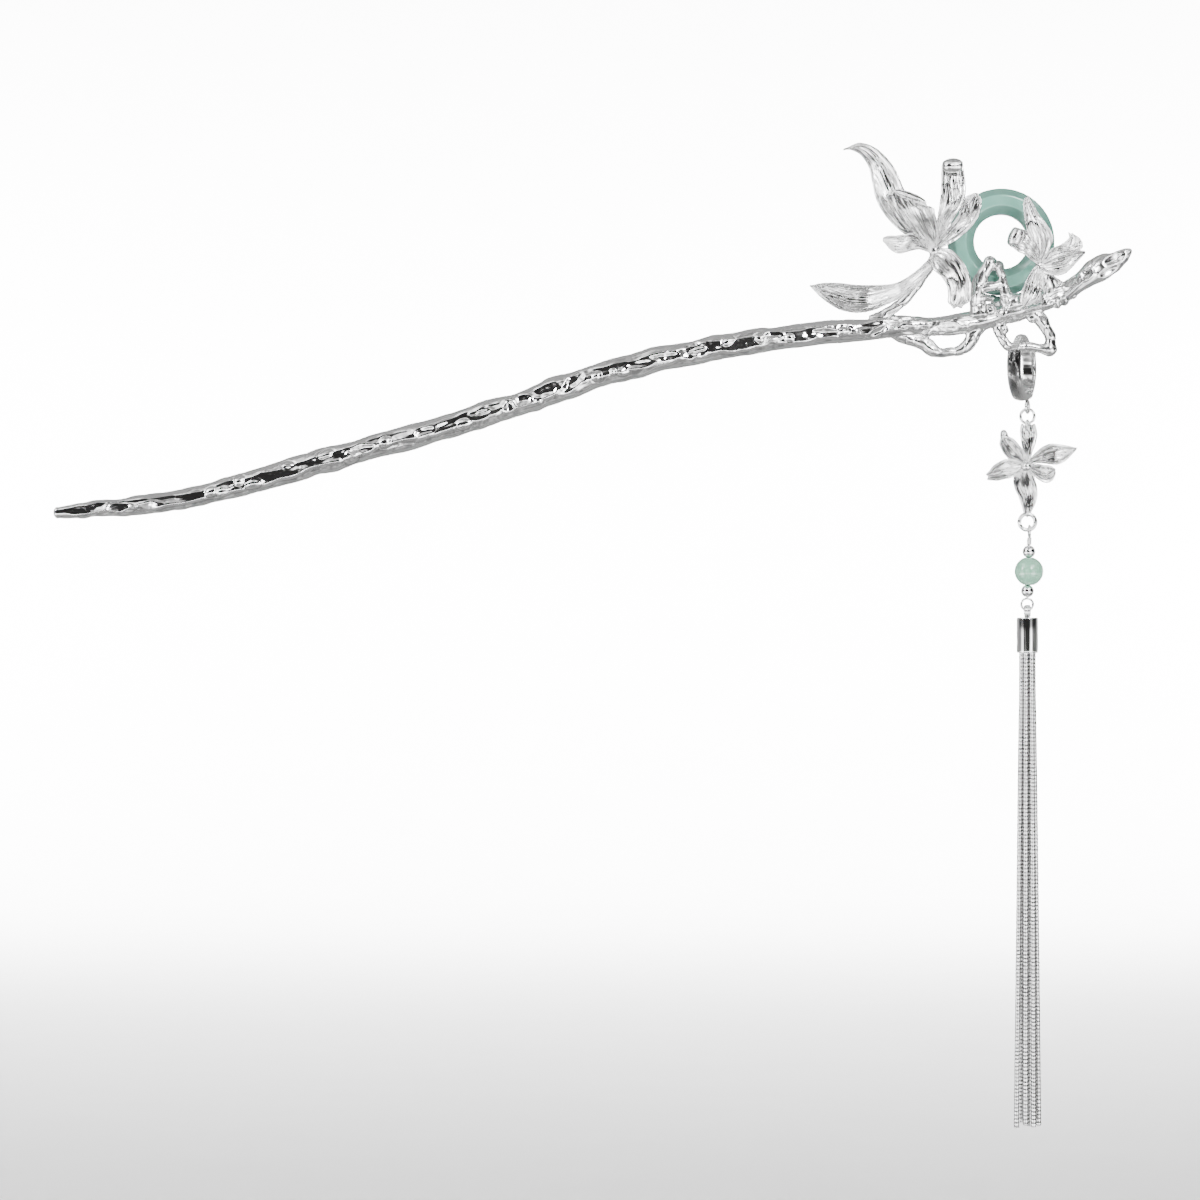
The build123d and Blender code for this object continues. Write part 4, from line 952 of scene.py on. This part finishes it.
def rounded(corners, radius, steps=4):
    """A closed outline with its corners eased."""
    corners = np.asarray(corners, float)
    result = []
    for before, here, after in zip(np.roll(corners, 1, 0), corners, np.roll(corners, -1, 0)):
        one = here + (before - here) / np.linalg.norm(before - here) * radius
        two = here + (after - here) / np.linalg.norm(after - here) * radius
        for t in np.linspace(0, 1, steps + 1):
            result.append((1 - t) ** 2 * one + 2 * t * (1 - t) * here + t * t * two)
    return np.array(result)


def lathe(centre, axis, profile, around=128):
    """Rings from a profile of (distance from the axis, place along it)."""
    axis, one, two = square_to(axis)
    a = np.linspace(0, 2 * math.pi, around, endpoint=False)[:, None, None]
    out = one * np.cos(a) + two * np.sin(a)
    profile = np.asarray(profile, float)
    return np.asarray(centre) + out * profile[None, :, :1] + axis * profile[None, :, 1:]


RING_PROFILE = rounded(
    ((4.1, -0.9), (5.4, -1.8), (6.95, -1.8), (8.0, -0.9), (8.0, 0.9), (6.95, 1.8), (5.4, 1.8), (4.1, 0.9)), 0.16
)
piece(
    "jade_ring_stone", skin(lathe(RING_MIDDLE, (0, 1, 0), RING_PROFILE, 160), looped=True),
    jade_teal, "hair_stick", ("jade_ring",)
)

# Bail: a hoop with a domed band, cut at its top, whose back half is an arm with a ridged tongue over the bar
BAIL_CENTRE = np.array([82.092, -0.846, 7.63])
BAIL_INNER = 4.1
BAIL_OUTER = 5.1
HINGE_ANGLE = 303
HINGE = BAIL_CENTRE + 4.6 * (
    math.cos(math.radians(HINGE_ANGLE)) * np.array(BAIL_BACK)
    + math.sin(math.radians(HINGE_ANGLE)) * np.array([0, 0, 1.0])
)


def band(start, stop, outline, steps=90):
    """A stretch of the hoop with an outline of (distance from the hoop's middle, place across its width)."""
    angle = np.radians(np.linspace(start, stop, steps))[:, None, None]
    out = np.array(BAIL_BACK) * np.cos(angle) + np.array([0, 0, 1.0]) * np.sin(angle)
    outline = np.asarray(outline, float)
    return skin(BAIL_CENTRE + out * outline[None, :, :1] + np.array(BAIL_AXIS) * outline[None, :, 1:])


def domed(inner, outer, low, high, dome, ease=0.14, ridges=0):
    """An outline that is flat inside, square at its sides and domed outside."""
    across = np.linspace(high, low, 33)
    t = (across - (low + high) / 2) / ((high - low) / 2)
    top = outer - dome * t**2
    if ridges:
        top = top - 0.06 * np.abs(np.sin(math.pi * ridges * (t + 1) / 2))
    corners = [(inner, low), (inner, high), (outer - dome, high)] + list(zip(top[2:-2], across[2:-2]))
    corners.append((outer - dome, low))
    return rounded(corners, ease if not ridges else 0.03, 3)


def disc(centre, inner, radius, low, high):
    """A round flat eye about the hoop's axis, solid where inner is 0."""
    ease = 0.08
    outline = rounded(((max(inner, 0.01), low), (radius, low), (radius, high), (max(inner, 0.01), high)), ease, 3)
    return skin(lathe(centre, BAIL_AXIS, np.maximum(outline, (0.01, -9)), 48), looped=True)


def polished(name, parts, body, node_name):
    """A smooth silver piece from its parts."""
    piece(name, join(parts), silver_polished, body, (node_name,))


polished(
    "bail_band",
    [
        band(152.5, 295.5, domed(BAIL_INNER, BAIL_OUTER, -1.0, 1.0, 0.22), 120),
        band(293.0, 303.0, domed(BAIL_INNER, BAIL_OUTER - 0.05, 0.46, 0.97, 0.05, 0.08), 12),
        band(293.0, 303.0, domed(BAIL_INNER, BAIL_OUTER - 0.05, -0.97, -0.46, 0.05, 0.08), 12),
        disc(HINGE, 0.0, 0.5, 0.46, 0.99),
        disc(HINGE, 0.0, 0.5, -0.99, -0.46),
        disc(HINGE, 0.0, 0.22, -1.05, 1.05),
        torus((83.0, -0.11, 1.65), BAIL_AXIS, 0.825, 0.225),
        ball((83.0, -0.11, 2.5), (0.34, 0.3, 0.3)),
    ],
    "bail", "bail_body"
)
polished(
    "bail_clip",
    [
        band(310.6, 405.0, domed(BAIL_INNER, BAIL_OUTER, -1.0, 1.0, 0.22), 90),
        band(304.0, 313.0, domed(BAIL_INNER, BAIL_OUTER - 0.05, -0.4, 0.4, 0.04, 0.08), 12),
        disc(HINGE, 0.28, 0.5, -0.4, 0.4),
        band(402.0, 510.0, domed(4.25, 4.95, -0.5, 0.5, 0.14, ridges=5), 90),
    ],
    "bail_arm", "bail_arm"
)

polished("link_upper", [jump_ring(drop_at(0.26), BAIL_BACK, 1.06, 0.22, 40)], "drop", "jump_ring_upper")
polished("link_lower", [jump_ring(drop_at(-15.6), (0, 1, 0), 1.2, 0.3, 150)], "drop", "jump_ring_lower")

# Eye pin: a wire with a loop at each end, wound round itself under the top loop
PIN_TOP = np.array([83.3, -0.1, -17.8])
PIN_FOOT = np.array([82.97, -0.1, -27.07])
WRAP_FOOT = -19.1
WIRE = 0.19


def pin_at(z):
    share = (PIN_TOP[2] - z) / (PIN_TOP[2] - PIN_FOOT[2])
    return PIN_TOP + (PIN_FOOT - PIN_TOP) * share


def coil(top, foot, radius, wire, turns):
    """A wire wound round the pin."""
    t = np.linspace(0, 1, int(36 * turns))
    angle = 2 * math.pi * turns * t
    z = top + (foot - top) * t
    line = np.array([pin_at(h) for h in z]) + radius * np.stack([np.cos(angle), np.sin(angle), 0 * t], 1)
    tangent = unit(np.gradient(line, axis=0))
    out = unit(line - np.array([pin_at(h) for h in z]))
    other = np.cross(tangent, out)
    b = np.linspace(0, 2 * math.pi, 10, endpoint=False)
    section = out[:, None] * np.cos(b)[None, :, None] + other[:, None] * np.sin(b)[None, :, None]
    return skin(line[:, None] + wire * section)


shank = [(*pin_at(z), WIRE, WIRE) for z in np.linspace(PIN_TOP[2] + 0.1, PIN_FOOT[2], 24)]
polished(
    "pin_wire",
    [
        torus((83.3, -0.1, -17.0), (1, 0, 0), 0.8, WIRE),
        torus((82.97, -0.1, -27.94), (0, 1, 0), 0.87, 0.17),
        skin(tube_rings(shank, 14)),
        coil(-18.0, WRAP_FOOT + 0.1, 0.24, 0.12, 4.5),
    ],
    "drop", "eye_pin"
)


def bead(centre, radius, hole):
    """A round bead drilled from top to foot, eased at the hole."""
    start = math.asin(hole / radius) + 0.04
    polar = np.linspace(start, math.pi - start, 40)
    outline = [(radius * math.sin(p), radius * math.cos(p)) for p in polar]
    end = radius * math.cos(start) * 0.97
    outline += [(hole, -end), (hole, -0.4 * end), (hole, 0.4 * end), (hole, end)]
    return skin(lathe(centre, (0, 0, 1), outline, 64), looped=True)


for name, z, node_name in (
    ("bead_metal_upper", -20.05, "bead_silver_upper"), ("bead_metal_lower", -25.95, "bead_silver_lower"),
):
    polished(name, [bead(pin_at(z), 0.95, 0.3)], "drop", node_name)
piece(
    "bead_stone", bead(pin_at(-23.0) + (0.12, 0, 0), 2.15, 0.5), jade_pale, "drop", ("bead_jade",)
)

# End cap: a spun tube with a thick banded eye on its roof
CAP_TOP = -29.93
cap_outline = [(0.02, 0)] + [
    (1.4 + 0.2 * math.sin(t), -0.2 + 0.2 * math.cos(t)) for t in np.linspace(0, math.pi / 2, 7)
] + [
    (1.6, -2.6), (1.6, -5.05), (1.575, -5.2), (1.53, -5.28), (1.42, -5.28), (1.36, -5.2), (1.36, -3.0), (1.36, -0.6),
    (0.02, -0.6),
]
eye_half = [(0.5, -0.3), (0.56, -0.42), (0.8, -0.45), (0.9, -0.4), (0.95, -0.28), (0.95, -0.14), (0.88, -0.09),
            (0.95, -0.04)]
eye_outline = eye_half + [(0.97, 0.0)] + [(r, -place) for r, place in reversed(eye_half)]
polished(
    "cap_spun",
    [
        skin(lathe(drop_at(CAP_TOP), (0, 0, 1), cap_outline, 96), looped=True),
        skin(lathe(drop_at(-28.98), (1, 0, 0), eye_outline, 64), looped=True),
        skin(tube_rings([drop_at(-30.1, 0.38, 0.42), drop_at(-29.85, 0.3, 0.4), drop_at(-29.75, 0.3, 0.4)], 24, 0.1)),
    ],
    "drop", "end_cap"
)

# Tassel: snake chain strands, each a tube of close overlapping scales.
# Columns: angle round the drop, distance from its middle half way down and at the foot, length.
STRANDS = (
    (10, 1.35, 1.75, 70.9), (70, 1.1, 1.2, 71.1), (130, 1.2, 1.35, 70.5), (190, 1.3, 1.7, 71.2),
    (250, 1.05, 1.15, 70.7), (310, 1.15, 1.3, 71.0), (0, 0.0, 0.0, 70.8),
)
CAP_FOOT = -35.23
SCALE_PITCH = 0.56
SCALE_DEPTH = 0.075
STRAND_RADIUS = 0.41


def strand(angle, middle, foot, length):
    way = np.array([math.cos(math.radians(angle)), math.sin(math.radians(angle)), 0])
    start = 0.9 if middle else 0.0
    places = (
        (start, CAP_FOOT + 1.2), (start, CAP_FOOT - 2.0), (0.5 * (start + middle), CAP_FOOT - 0.25 * length),
        (middle, CAP_FOOT - 0.5 * length), (foot, CAP_FOOT - length),
    )
    rows = [np.array(drop_at(z)) + way * r for r, z in places]
    count = int((length + 1.2) / SCALE_PITCH * 5)
    line = resample(rows, count)
    reach = np.linspace(0, length + 1.2, count)[:, None]
    a = np.linspace(0, 2 * math.pi, 12, endpoint=False)[None] + math.radians(angle)
    wave = (reach / SCALE_PITCH + 0.25 * np.abs(np.sin(a * 2))) % 1.0
    radius = STRAND_RADIUS - SCALE_DEPTH * wave**2
    radius[-1] *= 0.85
    offset = np.stack([np.cos(a) * radius, np.sin(a) * radius, np.zeros_like(radius)], -1)
    points, faces = skin(line[:, None] + offset)
    # painted shade in the gaps between the scales
    return points, faces, np.append((0.9 * wave**3).ravel(), [0, 0])


strands = [strand(*row) for row in STRANDS]
piece(
    "tassel_strands", join([(points, faces) for points, faces, _ in strands]), silver_chain, "drop",
    ("tassel",), shade=np.concatenate([shade for _, _, shade in strands])
)

# Floor and backdrop in one sweep, and a wide floor beyond it that only the camera sees
FLOOR = -0.130
WALL_Y = 1.15
SWEEP_RADIUS = 0.35


def paper_sheet(name, points, faces, paper):
    mesh = bpy.data.meshes.new(name)
    mesh.from_pydata(points, [], faces)
    mesh.polygons.foreach_set("use_smooth", [True] * len(faces))
    mesh.materials.append(paper)
    obj = add_object(name, mesh)
    return obj


def studio_paper():
    """A sheet of pale paper that curves up behind the object, on a wide floor of the same paper."""
    paper, tree, shader = material("studio_paper")
    place = node(tree, "TexCoord").outputs["Object"]
    fibre = clouds(tree, place, 40.0, 4.0)
    tree.links.new(ramp(tree, fibre, ((0.3, 0.89), (0.7, 0.91))), shader.inputs["Base Color"])
    shader.inputs["Roughness"].default_value = 0.9

    run = [(-0.25, 0), (WALL_Y - SWEEP_RADIUS, 0)]
    for angle in np.radians(np.linspace(0, 90, 13))[1:]:
        run.append((WALL_Y - SWEEP_RADIUS + SWEEP_RADIUS * math.sin(angle), SWEEP_RADIUS * (1 - math.cos(angle))))
    run.append((WALL_Y, 1.3))
    points = [(x, y, FLOOR + z) for y, z in run for x in (-1.5, 1.5)]
    faces = [(2 * n, 2 * n + 1, 2 * n + 3, 2 * n + 2) for n in range(len(run) - 1)]
    paper_sheet("studio_sweep", points, faces, paper).visible_glossy = False

    far, low = 14.0, FLOOR - 0.0005
    corners = [(-far, -far, low), (far, -far, low), (far, far, low), (-far, far, low)]
    wide = paper_sheet("studio_floor", corners, [(0, 1, 2, 3)], paper)
    for ray in ("diffuse", "glossy", "transmission", "shadow"):
        setattr(wide, "visible_" + ray, False)


studio_paper()

# Surroundings. Each level is a place between DIMMEST and BRIGHTEST on an even scale of stops.
DIMMEST = 0.03
BRIGHTEST = 12.0

# Level by height, from straight down at 0 to straight up at 1
HEIGHT_LEVELS = (
    (0.0, 0.46), (0.07, 0.46), (0.2, 0.52), (0.27, 0.52), (0.30, 0.60), (0.325, 0.90), (0.38, 0.88), (0.405, 0.50),
    (0.47, 0.46), (0.5, 0.46), (0.515, 0.40), (0.53, 0.10), (0.60, 0.05), (0.72, 0.08), (0.75, 0.50), (0.78, 0.74),
    (0.86, 0.72), (0.90, 0.54), (1.0, 0.46),
)

# Change of level round the horizon, where 0.5 is none, from behind over the left, the front and the right
ROUND_LEVELS = (
    (0.0, 0.5), (0.1, 0.5), (0.2, 0.35), (0.267, 0.5), (0.31, 0.80), (0.35, 0.84), (0.372, 0.35), (0.4, 0.38),
    (0.42, 0.62), (0.464, 0.5), (0.508, 0.5), (0.542, 0.55), (0.556, 0.84), (0.61, 0.86), (0.63, 0.6), (0.647, 0.5),
    (0.672, 0.35), (0.761, 0.25), (0.833, 0.3), (0.917, 0.45), (1.0, 0.5),
)
BACK_LEVEL = 0.46

# Strength of the plain pale surroundings that show beyond the floor
SEEN_STRENGTH = 1.25

# Share of the dark panel that hangs in front of the object, by height and round the horizon
PANEL_HEIGHT = ((0.0, 0.0), (0.37, 0.0), (0.41, 1.0), (0.78, 1.0), (0.82, 0.0))
PANEL_ROUND = ((0.0, 0.0), (0.40, 0.0), (0.44, 1.0), (0.55, 1.0), (0.58, 0.0))
PANEL_DEPTH = 0.42


def studio_world():
    world = bpy.data.worlds.new("studio")
    bpy.context.scene.world = world
    world.use_nodes = True
    tree = world.node_tree
    direction = node(tree, "TexCoord").outputs["Generated"]
    parts = node(tree, "SeparateXYZ", Vector=direction)
    x, y, z = (parts.outputs[c] for c in "XYZ")
    by_height = ramp(tree, fit(tree, z, -1.0, 1.0), HEIGHT_LEVELS)
    turn = math_node(tree, "ARCTAN2", x, math_node(tree, "MULTIPLY", y, -1.0))
    by_turn = ramp(tree, fit(tree, turn, -math.pi, math.pi), ROUND_LEVELS)
    low = fit(tree, math_node(tree, "ABSOLUTE", z), 0.9, 0.35, "SMOOTHSTEP")
    swing = math_node(tree, "MULTIPLY", math_node(tree, "SUBTRACT", by_turn, 0.5), low)
    patch = clouds(tree, direction, 3.2, 1.0)
    patches = math_node(tree, "MULTIPLY", math_node(tree, "SUBTRACT", patch, 0.5), 0.8)
    level = math_node(tree, "ADD", math_node(tree, "ADD", by_height, swing), patches)
    panel = math_node(
        tree, "MULTIPLY", ramp(tree, fit(tree, z, -1.0, 1.0), PANEL_HEIGHT),
        ramp(tree, fit(tree, turn, -math.pi, math.pi), PANEL_ROUND)
    )
    level = math_node(tree, "SUBTRACT", level, math_node(tree, "MULTIPLY", panel, PANEL_DEPTH))
    back = fit(tree, y, 0.0, 0.35, "SMOOTHSTEP")
    behind = math_node(tree, "MULTIPLY", math_node(tree, "SUBTRACT", BACK_LEVEL, level), back)
    level = fit(tree, math_node(tree, "ADD", level, behind), 0.0, 1.0)
    strength = math_node(tree, "MULTIPLY", math_node(tree, "POWER", BRIGHTEST / DIMMEST, level), DIMMEST)
    seen = node(tree, "LightPath").outputs["Is Camera Ray"]
    plain = math_node(tree, "MULTIPLY", math_node(tree, "SUBTRACT", SEEN_STRENGTH, strength), seen)
    tree.links.new(math_node(tree, "ADD", strength, plain), tree.nodes["Background"].inputs["Strength"])
    tree.nodes["Background"].inputs["Color"].default_value = (1, 1, 1, 1)


studio_world()


def area_light(name, place, aim, size, energy, spread_deg=180):
    data = bpy.data.lights.new(name, "AREA")
    data.shape = "RECTANGLE"
    data.size, data.size_y = size
    data.energy = energy
    data.spread = math.radians(spread_deg)
    obj = add_object(name, data)
    obj.location = place
    obj.rotation_euler = (Vector(aim) - Vector(place)).to_track_quat("-Z", "Y").to_euler()


area_light("light_paper_left", (-0.75, 0.65, 0.16), (0.0, WALL_Y, -0.03), (0.5, 0.5), 22.0, 75)
area_light("light_paper_right", (0.75, 0.65, 0.16), (0.0, WALL_Y, -0.03), (0.5, 0.5), 22.0, 75)
area_light("light_floor", (0.0, 0.74, 0.78), (0.0, 0.74, FLOOR), (0.9, 0.16), 10.0, 75)
area_light("light_box_left", (-0.72, -0.42, 0.34), (0.0, 0.0, 0.0), (0.16, 0.22), 4.0)
area_light("light_box_right", (0.283, -0.78, 0.35), (0.0, 0.0, 0.0), (0.16, 0.2), 3.6)

# Camera: level, from the front, through a long lens
FRAME_WIDTH = 0.18
CAMERA_AWAY = 0.675
camera = add_object("camera", bpy.data.cameras.new("camera"))
camera.data.lens = 36.0 * CAMERA_AWAY / FRAME_WIDTH
camera.data.sensor_width = 36.0
camera.data.clip_start = 0.01
camera.data.clip_end = 20.0
centre_x, _, centre_z = at(600, 600)
camera.location = (centre_x * MM, -CAMERA_AWAY, centre_z * MM)
camera.rotation_euler = (math.pi / 2, 0, 0)
bpy.context.scene.camera = camera
